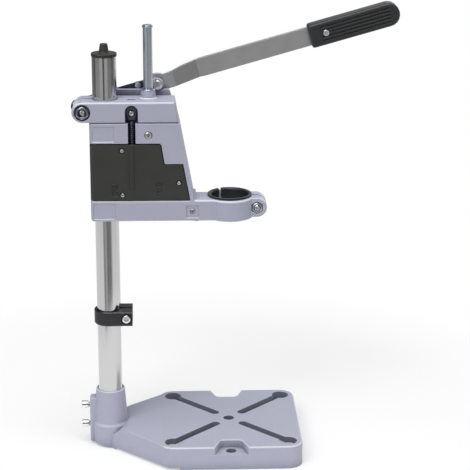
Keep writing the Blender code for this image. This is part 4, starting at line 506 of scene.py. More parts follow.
def arc(centre, radius, start_deg, end_deg):
    """Points on a circle from one angle to another, both ends included."""
    steps = max(2, math.ceil(abs(end_deg - start_deg) / ARC_STEP_DEG))
    turns = [math.radians(start_deg + (end_deg - start_deg) * step / steps) for step in range(steps + 1)]
    return [(centre[0] + radius * math.cos(turn), centre[1] + radius * math.sin(turn)) for turn in turns]


def disc(centre, radius):
    """A full circle as an outline."""
    return arc(centre, radius, 0, 360)[:-1]


def tile(low, high):
    """A rectangle between two corners."""
    return [low, (high[0], low[1]), high, (low[0], high[1])]


def softened(points, radius, closed=True):
    """An outline whose corners are rounded; a point that is (x, y, r) has its own radius."""
    rounded = []
    for index, point in enumerate(points):
        here = Vector(point[:2])
        reach = point[2] if len(point) > 2 else radius
        before = Vector(points[index - 1][:2]) - here
        after = Vector(points[(index + 1) % len(points)][:2]) - here
        ends = not closed and index in (0, len(points) - 1)
        if not reach or ends or before.angle(after) > NEARLY_STRAIGHT:
            rounded.append(tuple(here))
            continue
        half = before.angle(after) / 2
        trim = min(reach / math.tan(half), TRIM_SHARE * before.length, TRIM_SHARE * after.length)
        middle = here + (before.normalized() + after.normalized()).normalized() * trim / math.cos(half)
        first = here + before.normalized() * trim - middle
        last = here + after.normalized() * trim - middle
        sweep = math.atan2(first.x * last.y - first.y * last.x, first.dot(last))
        steps = max(2, math.ceil(abs(math.degrees(sweep)) / (2 * ARC_STEP_DEG)))
        for step in range(steps + 1):
            turn = sweep * step / steps
            spoke = Vector((first.x * math.cos(turn) - first.y * math.sin(turn),
                            first.x * math.sin(turn) + first.y * math.cos(turn)))
            rounded.append(tuple(middle + spoke))
    return rounded


def grown(points, reach):
    """An outline with every side moved outward by a reach."""
    area = sum(a[0] * b[1] - b[0] * a[1] for a, b in zip(points, points[1:] + points[:1]))
    moved = []
    for before, here, after in zip(points[-1:] + points[:-1], points, points[1:] + points[:1]):
        first = (Vector(here) - Vector(before)).normalized()
        second = (Vector(after) - Vector(here)).normalized()
        outward = Vector((first.y + second.y, -first.x - second.x)) * math.copysign(reach, area)
        moved.append(tuple(Vector(here) + outward / (1 + first.dot(second))))
    return moved


print("a rounded square has", len(softened(tile((0, 0), (10 * MM, 10 * MM)), MM)), "points")

# %% Solids from outlines


def only(kind, geometry):
    """The parts of one kind in what an operator gives back."""
    return [part for part in geometry if isinstance(part, kind)]


def object_of(name, shape):
    """A scene object that holds a bmesh, with its faces pointing out."""
    bmesh.ops.recalc_face_normals(shape, faces=shape.faces)
    mesh = bpy.data.meshes.new(name)
    shape.to_mesh(mesh)
    shape.free()
    made = bpy.data.objects.new(name, mesh)
    bpy.context.scene.collection.objects.link(made)
    return made


def to_space(plane, across, up, along):
    """A point of an outline, lifted off its plane by a distance along the plane's own axis."""
    if plane == "XZ":
        return Vector((across, along, up))
    if plane == "YZ":
        return Vector((along, across, up))
    return Vector((across, up, along))


def prism(plane, outline, start, end, rims=0, segments=3):
    """An outline extruded from start to end; rims is the radius of its end rims, or one radius for each."""
    shape = bmesh.new()
    ring = [shape.verts.new(to_space(plane, across, up, start)) for across, up in outline]
    floor = shape.faces.new(ring)
    grown_part = bmesh.ops.extrude_face_region(shape, geom=[floor])["geom"]
    lift = to_space(plane, 0, 0, end) - to_space(plane, 0, 0, start)
    bmesh.ops.translate(shape, vec=lift, verts=only(bmesh.types.BMVert, grown_part))
    axis = {"XZ": 1, "YZ": 0, "XY": 2}[plane]
    for level, radius in zip((start, end), rims if isinstance(rims, tuple) else (rims, rims)):
        rim = [line for line in shape.edges if all(abs(v.co[axis] - level) < WELD for v in line.verts)]
        if radius:
            bmesh.ops.bevel(shape, geom=rim, offset=radius, offset_type="OFFSET", segments=segments,
                            affect="EDGES", profile=0.5, material=-1, clamp_overlap=True)
    return object_of("prism", shape)


def box(low, high):
    """A box between two corners."""
    return prism("XZ", tile((low[0], low[2]), (high[0], high[2])), low[1], high[1])

# %% Cutters with rounded mouths


def stacked(plane, levels):
    """A closed solid through outlines of equal length, given as (level, outline)."""
    shape = bmesh.new()
    loops = []
    for along, outline in levels:
        ring = [shape.verts.new(to_space(plane, across, up, along)) for across, up in outline]
        loops.append((ring, [shape.edges.new(pair) for pair in zip(ring, ring[1:] + ring[:1])]))
    for (_, lower), (_, upper) in zip(loops, loops[1:]):
        bmesh.ops.bridge_loops(shape, edges=lower + upper)
    shape.faces.new(loops[0][0])
    shape.faces.new(loops[-1][0])
    return object_of("stacked", shape)


LIP_STEPS = 3


def flared(plane, outline, start, end, lip):
    """A cutter from start to the surface at end, whose mouth opens in a quarter round."""
    side = math.copysign(1, end - start)
    levels = [(start, outline), (end - side * lip, outline)]
    for step in range(1, LIP_STEPS + 1):
        turn = math.radians(90 * step / LIP_STEPS)
        levels.append((end - side * lip * (1 - math.sin(turn)), grown(outline, lip * (1 - math.cos(turn)))))
    levels.append((end + side * OVERRUN, grown(outline, lip)))
    return stacked(plane, levels)

# %% Turned solids
TURNED_SIDES = 48


def turned(axis, centre, profile, sides=TURNED_SIDES):
    """A profile of (radius, distance) points spun about an axis, closed on that axis or on itself."""
    shape = bmesh.new()
    ring = [shape.verts.new((radius, 0, along)) for radius, along in profile]
    lines = [shape.edges.new(pair) for pair in zip(ring, ring[1:])]
    if profile[0][0] > 0:
        lines.append(shape.edges.new((ring[-1], ring[0])))
    bmesh.ops.spin(shape, geom=ring + lines, cent=(0, 0, 0), axis=(0, 0, 1), angle=CIRCLE, steps=sides,
                   use_merge=True)
    bmesh.ops.remove_doubles(shape, verts=shape.verts, dist=WELD)
    aim = Vector([float(letter == axis) for letter in "XYZ"])
    turn = Vector((0, 0, 1)).rotation_difference(aim).to_matrix().to_4x4()
    bmesh.ops.transform(shape, matrix=Matrix.Translation(centre) @ turn, verts=shape.verts)
    return object_of("turned", shape)


def rod(axis, centre, radius, start, end, edge=0, sides=TURNED_SIDES):
    """A round bar from start to end, its rims rounded."""
    profile = softened([(0, start), (radius, start), (radius, end), (0, end)], edge, closed=False)
    return turned(axis, centre, profile, sides)


def tube(axis, centre, inner, outer, start, end, edge=0):
    """A ring between two radii, its rims rounded."""
    return turned(axis, centre, softened([(inner, start), (outer, start), (outer, end), (inner, end)], edge))

# %% Boolean steps


def combine(target, tools, operation):
    """Applies one Boolean step between the target and all the tools, and removes the tools."""
    group = bpy.data.collections.new(operation)
    bpy.context.scene.collection.children.link(group)
    for tool in tools:
        group.objects.link(tool)
    step = target.modifiers.new(operation, "BOOLEAN")
    step.operation = operation
    step.operand_type = "COLLECTION"
    step.collection = group
    step.solver = "EXACT"
    graph = bpy.context.evaluated_depsgraph_get()
    mesh = bpy.data.meshes.new_from_object(target.evaluated_get(graph))
    target.modifiers.clear()
    target.data = mesh
    for tool in tools:
        bpy.data.objects.remove(tool, do_unlink=True)
    bpy.data.collections.remove(group)
    shape = bmesh.new()
    shape.from_mesh(mesh)
    bmesh.ops.remove_doubles(shape, verts=shape.verts, dist=WELD)
    bmesh.ops.dissolve_degenerate(shape, edges=shape.edges, dist=WELD)
    shape.to_mesh(mesh)
    shape.free()
    return target


def join(target, *tools):
    """Joins solids that overlap the target into it."""
    return combine(target, tools, "UNION")


def cut(target, *tools):
    """Cuts solids out of the target."""
    return combine(target, tools, "DIFFERENCE")

# %% A finished piece
SHARP_DEG = 32


def smooth(piece, sharp_deg=SHARP_DEG):
    """Smooth shading on round faces; flat faces keep their own light."""
    piece.data.shade_smooth()
    piece.data.set_sharp_from_angle(angle=math.radians(sharp_deg))
    weigh = piece.modifiers.new("flat faces first", "WEIGHTED_NORMAL")
    weigh.keep_sharp = True
    return piece


def place(piece, name, node, finish):
    """Names a finished piece, dresses it, and lets it stand for its CAD node on that node's body."""
    piece.name = name
    piece.data.name = name
    smooth(wear(piece, finish))
    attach(piece, body_of(nodes[node])[0])
    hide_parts(node)
    print(name, "faces:", len(piece.data.polygons))
    return piece

# %% [markdown]
# The base casting
# The base is one aluminium die casting: a square drilling table, a neck that widens from the column to the
# table, and a tapered hub with a rib behind it. The table is an extruded outline with a fat rounded rim. The
# neck has sloping faces, so it is the hull of a few corners with bevelled edges. The hub is turned.

# %% Table and neck
TABLE_HALF = 77 * MM
TABLE_TOP = 26 * MM
TABLE_CORNER = 16 * MM
TABLE_RIM = 2.4 * MM
NECK_BEND = 1.4 * MM
NECK_BEND_X, NECK_BEND_Z = 16 * MM, 14 * MM


def make_table():
    """The drilling table."""
    square = tile((TABLE_X - TABLE_HALF, -TABLE_HALF), (TABLE_X + TABLE_HALF, TABLE_HALF))
    return prism("XY", softened(square, TABLE_CORNER), 0, TABLE_TOP, (0.4 * MM, TABLE_RIM), 4)


NECK_FRONT = ((0, 18.6, 0), (4.6, 21.9, 0), (57.6, 71.6, 0), (74, 73.5, 0),
              (0, 18.2, 15), (4.6, 21.2, 17.5), (17.5, 32.9, 27.2), (57.6, 70.6, 25.4), (74, 72.6, 25.3))


def make_neck():
    """The neck, as the hull of its corners, left and right alike."""
    shape = bmesh.new()
    for x, y, z in NECK_FRONT:
        for side in (-1, 1):
            shape.verts.new((x * MM, side * y * MM, z * MM))
    bmesh.ops.convex_hull(shape, input=shape.verts)
    bmesh.ops.dissolve_limit(shape, angle_limit=math.radians(1), verts=shape.verts, edges=shape.edges)
    upper = [line for line in shape.edges if min(v.co.z for v in line.verts) > NECK_BEND_Z
             and min(v.co.x for v in line.verts) > NECK_BEND_X]
    bmesh.ops.bevel(shape, geom=upper, offset=NECK_BEND, offset_type="OFFSET", segments=4, affect="EDGES",
                    profile=0.5, material=-1, clamp_overlap=False)
    return object_of("neck", shape)


print("neck corners:", 2 * len(NECK_FRONT))

# %% Hub and rib
HUB_TOP = 64.6 * MM
COLUMN_R = 12.7 * MM
CLEAR = 0.3 * MM
SOCKET_FLOOR = 29.7 * MM
RIB_X = -22.8 * MM
BOLT_HEIGHTS = (44.2 * MM, 21.6 * MM)


def make_hub():
    """The tapered socket for the column, with a lip at its waist."""
    profile = [(0, 0), (19.6 * MM, 0, 0), (20.4 * MM, 24.6 * MM, 0.9 * MM), (18.4 * MM, 27.2 * MM, 1.6 * MM),
               (15.6 * MM, HUB_TOP, 1.3 * MM), (0, HUB_TOP)]
    return turned("Z", (0, 0, 0), softened(profile, 0, closed=False), 64)


def make_rib():
    """The upright rib behind the hub that the socket bolts go through."""
    outline = [(RIB_X, 2 * MM), (0, 2 * MM), (0, 54.2 * MM), (RIB_X, 54.2 * MM, 3 * MM)]
    return prism("XZ", softened(outline, 0), -7 * MM, 7 * MM, 1.6 * MM)


print("socket depth:", round(HUB_TOP - SOCKET_FLOOR, 4))

# %% Holes of the base
KEYHOLE_REACH = 61.5 * MM
KEYHOLE_R = 9.5 * MM
SLOT_HALF = 4.9 * MM
SLOT_START, SLOT_END_SHARE = 21.2 * MM, 0.97
HOLE_LIP = 0.4 * MM
MIDDLE_HOLE_R = 6 * MM
POCKET_TOP, POCKET_CORNER, POCKET_RIM = 19 * MM, 3 * MM, 1.5 * MM
NOTCH_FLOOR, NOTCH_LIP = 17 * MM, 1.4 * MM
NOTCH_HOLE_R, NOTCH_HOLE_IN = 5.6 * MM, 11.5 * MM
FOOT_CUT_HALF = 80 * MM
BOLT_HOLE_R = 3.3 * MM


def diagonal_cutters(sx, sy):
    """One diagonal slot and the keyhole at its end, with rounded mouths."""
    middle = Vector((TABLE_X, 0))
    far = Vector((sx, sy)) * KEYHOLE_REACH
    near = far.normalized() * SLOT_START
    turn = math.degrees(math.atan2(far.y, far.x))
    pill = arc(middle + near, SLOT_HALF, turn + 90, turn + 270)
    pill += arc(middle + far * SLOT_END_SHARE, SLOT_HALF, turn - 90, turn + 90)
    return (flared("XY", pill, -OVERRUN, TABLE_TOP, HOLE_LIP),
            flared("XY", disc(middle + far, KEYHOLE_R), -OVERRUN, TABLE_TOP, HOLE_LIP))


def notch_cutters(side):
    """The bench-bolt notch in the front or back edge, and the hole in its floor."""
    edge = side * TABLE_HALF
    outline = [(-18.4, 1.2, 0), (-11.2, -19, 5.5), (11.2, -19, 5.5), (18.4, 1.2, 0)]
    outline = softened([(TABLE_X + x * MM, edge + side * y * MM, r * MM) for x, y, r in outline], 0)
    place_of_hole = (TABLE_X, edge - side * NOTCH_HOLE_IN)
    return (flared("XY", outline, NOTCH_FLOOR, TABLE_TOP, NOTCH_LIP),
            flared("XY", disc(place_of_hole, NOTCH_HOLE_R), -OVERRUN, NOTCH_FLOOR, 0.7 * MM))


def pocket_cutters():
    """The hollows under the table and under the neck, drawn in millimetres."""
    quarter = [(3, 13), (13, 13), (13, 3), (72, 3), (72, 72), (24, 72), (24, 52), (3, 52)]
    outlines = [[(TABLE_X + sx * x * MM, sy * y * MM) for x, y in quarter]
                for sx in (-1, 1) for sy in (-1, 1)]
    outlines.append([(x * MM, y * MM) for x, y in ((26, -26), (46, -43), (46, 43), (26, 26))])
    return [prism("XY", softened(outline, POCKET_CORNER), -OVERRUN, POCKET_TOP, (0, POCKET_RIM))
            for outline in outlines]


def foot_cutters():
    """The step under the neck, and the slope under the hub's back."""
    step = [(6, -3), (75, -3), (75, 2.7), (6, 2.7)]
    slope = [(-26, -3), (4.2, -3), (4.2, 0), (-24, 3.7), (-26, 3.7)]
    return [prism("XZ", [(x * MM, z * MM) for x, z in outline], -FOOT_CUT_HALF, FOOT_CUT_HALF)
            for outline in (step, slope)]

# %% The whole base


def base_cutters():
    """Everything that is bored or cut out of the base."""
    tools = [*pocket_cutters(), *foot_cutters()]
    for side in (-1, 1):
        tools += notch_cutters(side)
        for sy in (-1, 1):
            tools += diagonal_cutters(side, sy)
    tools.append(flared("XY", disc((TABLE_X, 0), MIDDLE_HOLE_R), -OVERRUN, TABLE_TOP, HOLE_LIP))
    tools.append(flared("XY", disc((0, 0), COLUMN_R + CLEAR), SOCKET_FLOOR, HUB_TOP, 0.7 * MM))
    for height in BOLT_HEIGHTS:
        tools.append(flared("YZ", disc((0, height), BOLT_HOLE_R), -6.5 * MM, RIB_X, 0.5 * MM))
    return tools


base_casting = join(make_table(), make_neck(), make_hub(), make_rib())
cut(base_casting, *base_cutters())
place(base_casting, "base_casting", "base_plate", cast_paint)

# %% [markdown]
# The clamp head
# A second casting grips the column. Its left end is split into two lobes that a stud pulls together, a boss
# on its top guides the depth rod, and a round-topped pocket in its face holds the spring's eye. Its outline
# is extruded front to back, and the boss is turned with a fillet at its foot.

# %% Head
HEAD_LOW = 366.0 * MM
HEAD_TOP = 387.8 * MM
HEAD_MIDDLE = (HEAD_LOW + HEAD_TOP) / 2
FRONT_Y = -20 * MM
HEAD_BACK = 15 * MM
CASTING_RIM = 2.3 * MM
LOBE_X, LOBE_R = -22.8 * MM, 10.9 * MM
SLIT_HALF = 1.25 * MM
SPRING_X, EYE_Z = 27.8 * MM, 375.3 * MM
ARCH_Z, ARCH_R = 377.7 * MM, 6.6 * MM
ROD_X, ROD_Y = 45 * MM, 4 * MM
BOSS_TOP = 396.0 * MM
HEAD_RIGHT_X = 72.5 * MM
LEAN = 0.187


def lean_x(height):
    """Where the leaning right side of the head and the carriage stands at a height."""
    return HEAD_RIGHT_X + LEAN * (HEAD_TOP - height)


def head_body():
    """The solid head: its outline, the round wall about the column, and the boss."""
    outline = [(lean_x(HEAD_LOW), HEAD_LOW), (lean_x(HEAD_TOP), HEAD_TOP)]
    outline += arc((LOBE_X, HEAD_MIDDLE), LOBE_R, 90, 270)
    slab = prism("XZ", outline, FRONT_Y, HEAD_BACK, (CASTING_RIM, 1.0 * MM), 4)
    wall = rod("Z", (0, 0, 0), 17.8 * MM, HEAD_LOW, HEAD_TOP, 0.8 * MM)
    boss = [(0, HEAD_TOP - 3 * MM), (8.2 * MM, HEAD_TOP - 3 * MM), (9.2 * MM, HEAD_TOP + 2 * SLIVER, 0),
            (8.1 * MM, HEAD_TOP + 0.9 * MM, 1.2 * MM), (7.3 * MM, BOSS_TOP, 0.7 * MM), (0, BOSS_TOP)]
    return join(slab, wall, turned("Z", (ROD_X, ROD_Y, 0), softened(boss, 0, closed=False)))


def head_cutters():
    """Bore, slit, stud hole, nut recess, spring pocket, rod hole and window."""
    bore = disc((0, 0), COLUMN_R + CLEAR)
    arch = arc((SPRING_X, ARCH_Z), ARCH_R, 0, 180)
    arch += [(SPRING_X - ARCH_R, HEAD_LOW - OVERRUN), (SPRING_X + ARCH_R, HEAD_LOW - OVERRUN)]
    window = softened(tile((SPRING_X - 4.3 * MM, -6.6 * MM), (SPRING_X + 4.3 * MM, -1.8 * MM)), 0.8 * MM)
    return [prism("XY", bore, HEAD_LOW - OVERRUN, HEAD_TOP - MM),
            flared("XY", bore, HEAD_TOP - 2 * MM, HEAD_TOP, 0.5 * MM),
            box((-40 * MM, -SLIT_HALF, HEAD_LOW - OVERRUN), (0, SLIT_HALF, HEAD_TOP + OVERRUN)),
            rod("Y", (LOBE_X, 0, HEAD_MIDDLE), 4.3 * MM, FRONT_Y, HEAD_BACK + OVERRUN),
            flared("XZ", disc((LOBE_X, HEAD_MIDDLE), 8.4 * MM), FRONT_Y + 3.5 * MM, FRONT_Y, 0.7 * MM),
            flared("XZ", arch, FRONT_Y + 11 * MM, FRONT_Y, 0.6 * MM),
            rod("Y", (SPRING_X, 0, EYE_Z), 2.1 * MM, FRONT_Y + 10 * MM, -0.7 * MM),
            rod("Z", (ROD_X, ROD_Y, 0), 6.4 * MM, HEAD_LOW - OVERRUN, BOSS_TOP + OVERRUN),
            flared("XY", window, HEAD_TOP - 6 * MM, HEAD_TOP, 0.4 * MM)]


head_casting = cut(head_body(), *head_cutters())
place(head_casting, "head_casting", "clamp_head", cast_paint)

# %% [markdown]
# The carriage
# The largest casting slides under the head. A band and an arm hold it on the column, a leaning wall joins
# them, a plate behind it rises to the lever's pivot, and the arm ends in a split drill collar. Each part is
# drawn on its own plane and extruded, and one Boolean step joins them all. What has to overlap its
# neighbour, to be joined to it, does so by a fixed amount.

# %% Carriage body
BAND_TOP = 365.4 * MM
BAND_LOW = 343.3 * MM
ARM_TOP = 283.0 * MM
ARM_LOW = 260.0 * MM
ARM_BACK = 14 * MM
PLATE_FRONT = 20 * MM
PLATE_BACK = 25 * MM
LEFT_X = -16 * MM
SIDE_WALL = 4.5 * MM
WALL_GAP = 0.4 * MM
OVERLAP = 2 * MM
STEP_Z = 322.3 * MM
CORNER_R = 4.5 * MM
FOOT_R = 4 * MM
ARM_RIM = 2.6 * MM
COLLAR_R = 26.2 * MM
COLLAR_BORE = 21.8 * MM
LUG_X, LUG_Z, LUG_R = 158.5 * MM, 272.5 * MM, 10.4 * MM
LUG_HALF, LUG_RIM = 14 * MM, 1.2 * MM
PIVOT_X, PIVOT_Z = 54.3 * MM, 397.8 * MM
EAR_R = 6.6 * MM


def corner_tool(plane, corner, radius, start, end):
    """Rounds the edge that stands on the low corner of a plane, from start to end."""
    middle = (corner[0] + radius, corner[1] + radius)
    round_part = arc(middle, radius + SLIVER, 180, 270)
    return prism(plane, [(corner[0] - OVERRUN, middle[1]), (corner[0] - OVERRUN, corner[1] - OVERRUN),
                         (middle[0], corner[1] - OVERRUN), *round_part[::-1]], start - OVERRUN, end + OVERRUN)


def wall_parts():
    """The band with the leaning wall, the back, and the stepped face beside the cover."""
    wall_top = lean_x(BAND_LOW) - SIDE_WALL + WALL_GAP
    wall_foot = lean_x(ARM_LOW) - SIDE_WALL + WALL_GAP
    hook = [(LEFT_X, BAND_LOW, 0), (wall_top, BAND_LOW, 0), (wall_foot, ARM_LOW, 0),
            (lean_x(ARM_LOW), ARM_LOW, 0), (lean_x(BAND_TOP), BAND_TOP, 0.5 * MM), (LEFT_X, BAND_TOP, 0)]
    back = [(LEFT_X, ARM_LOW), (wall_foot + OVERLAP, ARM_LOW), (wall_top + OVERLAP, BAND_LOW + OVERRUN),
            (LEFT_X, BAND_LOW + OVERRUN)]
    face = [(57.9 * MM, BAND_LOW + OVERRUN, 0), (61.6 * MM, STEP_Z, 1.2 * MM),
            (lean_x(STEP_Z) - OVERLAP, STEP_Z, 0), (lean_x(BAND_LOW) - OVERLAP, BAND_LOW + OVERRUN, 0)]
    return [prism("XZ", softened(hook, 0), FRONT_Y, PLATE_BACK, (2.0 * MM, 0.8 * MM)),
            prism("XZ", back, PLATE_FRONT, PLATE_BACK - SLIVER),
            prism("XZ", softened(face, 0), FRONT_Y + 2 * SLIVER, FRONT_Y + 4 * MM)]


def arm_parts():
    """The arm, its root against the back plate, the drill collar and its lug."""
    arm = softened(tile((FRONT_Y, ARM_LOW), (ARM_BACK, ARM_TOP)), ARM_RIM)
    lug = softened(tile((-LUG_HALF, LUG_Z - LUG_R), (LUG_HALF, LUG_Z + LUG_R)), LUG_RIM)
    return [prism("YZ", arm, LEFT_X, TABLE_X, 0.6 * MM),
            box((LEFT_X + SLIVER, 0, ARM_LOW + SLIVER),
                (lean_x(ARM_LOW) - OVERLAP, PLATE_BACK - 2 * SLIVER, ARM_TOP - 2 * SLIVER)),
            rod("Z", (TABLE_X, 0, 0), COLLAR_R, ARM_LOW, ARM_TOP, ARM_RIM, 72),
            rod("Y", (LUG_X, 0, LUG_Z), LUG_R, -LUG_HALF, LUG_HALF, LUG_RIM, 64),
            prism("YZ", lug, TABLE_X, LUG_X)]


def pivot_plate():
    """The upright plate behind the head, open over a short stretch, with its ear."""
    ear_left, ear_right = PIVOT_X / MM - 5.3, PIVOT_X / MM + 12.7
    outline = [(-11.8, 363.4, 0), (lean_x(BAND_TOP) / MM, 363.4, 0), (ear_right, 393, 1),
               (ear_left, 393, 0.4), (ear_left, 385, 1), (37.5, 385, 1), (37.5, 393, 1), (-11.8, 393, 2)]
    outline = softened([(x * MM, z * MM, r * MM) for x, z, r in outline], 0)
    return [prism("XZ", outline, PLATE_FRONT, PLATE_BACK, 0.8 * MM),
            rod("Y", (PIVOT_X, 0, PIVOT_Z), EAR_R, PLATE_FRONT, PLATE_BACK, 0.6 * MM)]


print("carriage height:", round(BAND_TOP - ARM_LOW, 4))

# %% Blocks inside the carriage
SIDE_SCREW_Z = 301.6 * MM
COVER_SCREWS = ((17.4 * MM, 336.6 * MM), (17.4 * MM, 288.8 * MM),
                (lean_x(SIDE_SCREW_Z) - SIDE_WALL - 7.8 * MM, SIDE_SCREW_Z))
SCREW_BLOCK_HALF = 3.5 * MM
ANCHOR_HALF, ANCHOR_TOP = 4.2 * MM, 292.0 * MM


def inner_blocks():
    """The cover's screw bosses and the block that the spring stands on."""
    front, rear, half = FRONT_Y + 2.7 * MM, FRONT_Y + 11.7 * MM, SCREW_BLOCK_HALF
    (upper_x, upper_z), (lower_x, lower_z), (side_x, side_z) = COVER_SCREWS
    return [box((upper_x - half, front, upper_z - half), (upper_x + half, rear, BAND_LOW + OVERRUN)),
            box((lower_x - half, front, ARM_TOP - OVERRUN), (lower_x + half, rear, lower_z + half)),
            box((side_x - half, front, side_z - half), (lean_x(side_z) - OVERLAP, rear, side_z + half)),
            box((SPRING_X - ANCHOR_HALF, -17.4 * MM, ARM_TOP - OVERRUN),
                (SPRING_X + ANCHOR_HALF, -9.0 * MM, ANCHOR_TOP))]


print("cover screws:", len(COVER_SCREWS))

# %% Holes of the carriage
PANEL_LIP = 1.0 * MM
PANEL_IN = 3.2 * MM
COVER_GAP = 1.0 * MM
PAD_X, PAD_Z, PAD_HALF = 90.4 * MM, 270.5 * MM, 6.4 * MM
ROD_SCREW_Z = 352.8 * MM
GROOVE_HALF = 3.9 * MM
NUT_POCKET_R = 6.7 * MM


def face_cutters():
    """Recesses and holes in the front: panels, pad, spring groove, screws."""
    tools = []
    for low, high in ((BAND_LOW, BAND_TOP), (ARM_LOW, ARM_TOP)):
        panel = softened(tile((-12.9 * MM, low + PANEL_IN), (9.2 * MM, high - PANEL_IN)), 1.2 * MM)
        tools.append(flared("XZ", panel, FRONT_Y + 0.9 * MM, FRONT_Y, PANEL_LIP))
    pad = tile((PAD_X - PAD_HALF, PAD_Z - PAD_HALF), (PAD_X + PAD_HALF, PAD_Z + PAD_HALF))
    groove = tile((SPRING_X - GROOVE_HALF, BAND_LOW - OVERRUN), (SPRING_X + GROOVE_HALF, BAND_TOP + OVERRUN))
    tools += [flared("XZ", softened(pad, 0.8 * MM), FRONT_Y + 1.2 * MM, FRONT_Y, PANEL_LIP),
              rod("Y", (PAD_X, 0, PAD_Z), 2.9 * MM, FRONT_Y, -9.5 * MM),
              flared("XZ", disc((ROD_X, ROD_SCREW_Z), 4.2 * MM), FRONT_Y + 3 * MM, FRONT_Y, 0.5 * MM),
              rod("Y", (ROD_X, 0, ROD_SCREW_Z), 2.7 * MM, FRONT_Y, ROD_Y),
              flared("XZ", groove, FRONT_Y + 10.8 * MM, FRONT_Y, 0.5 * MM),
              box((LEFT_X - OVERRUN, FRONT_Y - OVERRUN, BAND_LOW - MM),
                  (57.2 * MM, FRONT_Y + 6 * MM, BAND_LOW + COVER_GAP))]
    for x, z in COVER_SCREWS:
        tools.append(rod("Y", (x, 0, z), 1.7 * MM, FRONT_Y + 1.2 * MM, -11.5 * MM, sides=24))
    return tools

# %% Bores of the carriage, and the whole


def hexagon(centre, reach):
    """Six corners about a centre, the first one straight up."""
    return [(centre[0] + reach * math.sin(CIRCLE * corner / 6),
             centre[1] + reach * math.cos(CIRCLE * corner / 6)) for corner in range(6)]


def bore_cutters():
    """Bores for the column, the drill, the rod, the pivot and the collar's bolt, and the collar's slit."""
    nut_pocket = softened(hexagon((LUG_X, LUG_Z), NUT_POCKET_R), 0.3 * MM)
    return [rod("Z", (0, 0, 0), 14.3 * MM, ARM_LOW - OVERRUN, BAND_TOP + OVERRUN),
            flared("XY", disc((TABLE_X, 0), COLLAR_BORE), ARM_LOW - OVERRUN, ARM_TOP, 0.4 * MM),
            box((TABLE_X, -1.3 * MM, ARM_LOW - OVERRUN), (LUG_X + LUG_HALF, 1.3 * MM, ARM_TOP + OVERRUN)),
            rod("Y", (LUG_X, 0, LUG_Z), BOLT_HOLE_R, -LUG_HALF - OVERRUN, LUG_HALF + OVERRUN),
            flared("XZ", nut_pocket, -9.8 * MM, -LUG_HALF, 0.4 * MM),
            rod("Z", (ROD_X, ROD_Y, 0), 5.2 * MM, 345.2 * MM, BAND_TOP + OVERRUN),
            rod("Y", (PIVOT_X, 0, PIVOT_Z), BOLT_HOLE_R, PLATE_FRONT - OVERRUN, PLATE_BACK + OVERRUN)]


carriage_parts = [*wall_parts(), *arm_parts(), *pivot_plate(), *inner_blocks()]
carriage_casting = join(carriage_parts[0], *carriage_parts[1:])
cut(carriage_casting, *face_cutters(), *bore_cutters())
cut(carriage_casting, corner_tool("XY", (LEFT_X, FRONT_Y), CORNER_R, ARM_LOW, BAND_TOP))
cut(carriage_casting, corner_tool("XZ", (LEFT_X, ARM_LOW), FOOT_R, FRONT_Y, PLATE_BACK))
place(carriage_casting, "carriage_casting", "carriage", cast_paint)

# %% [markdown]
# Turned parts
# The column is drawn steel tube with a chamfered mouth, and its cap is one plastic turning with a finger
# grip. The depth rod, its ring, the guide bush, the bushes and the washers come off a lathe too, so each is
# a profile spun about its axis, with small rounded edges that catch the light.

# %% Column, cap, rod and rings
EDGE = 0.3 * MM
COLUMN_TOP = 432.3 * MM


def lathe(axis, centre, profile, sides=TURNED_SIDES):
    """A turned part drawn in millimetres as (radius, distance, corner radius)."""
    scaled = [(radius * MM, along * MM, corner * MM) for radius, along, corner in profile]
    return turned(axis, centre, softened(scaled, 0, closed=profile[0][0] > 0), sides)


column = tube("Z", (0, 0, 0), 11.2 * MM, COLUMN_R, 30 * MM, COLUMN_TOP, EDGE)
place(column, "column_tube", "column", chrome)
CAP_PROFILE = ((0, 418.5, 0), (10.7, 418.5, 0.5), (10.7, 432.5, 0), (13.3, 432.5, 0.3), (13.3, 433.6, 0.2),
               (12.7, 433.8, 0), (12.7, 434.3, 0), (13.3, 434.5, 0.2), (13.3, 435.8, 0.7), (5.6, 435.8, 0.8),
               (5.1, 437.2, 0.8), (3.9, 445.3, 0.9), (0, 445.3, 0))
place(lathe("Z", (0, 0, 0), CAP_PROFILE, 64), "cap_turned", "column_cap", black_plastic)
ROD_PROFILE = ((0, 345.5, 0), (4.9, 345.5, 0.5), (4.9, 461.1, 0.1), (4.2, 461.1, 0), (4.2, 463.2, 0),
               (4.9, 463.2, 0.1), (4.9, 464, 0.4), (0, 464, 0))
place(lathe("Z", (ROD_X, ROD_Y, 0), ROD_PROFILE), "rod_turned", "depth_rod", zinc)
ring = tube("Z", (ROD_X, ROD_Y, 0), 4.5 * MM, 5.7 * MM, 461.3 * MM, 462.9 * MM, EDGE)
place(ring, "ring_snapped", "rod_ring", zinc)
GUIDE_PROFILE = ((5.2, 375.5, 0), (6.1, 375.5, 0.2), (6.1, 396.0, 0), (7.5, 396.0, 0.2), (7.5, 397.2, 0.5),
                 (5.2, 397.2, 0.4))
place(lathe("Z", (ROD_X, ROD_Y, 0), GUIDE_PROFILE), "guide_turned", "rod_guide_bush", zinc)

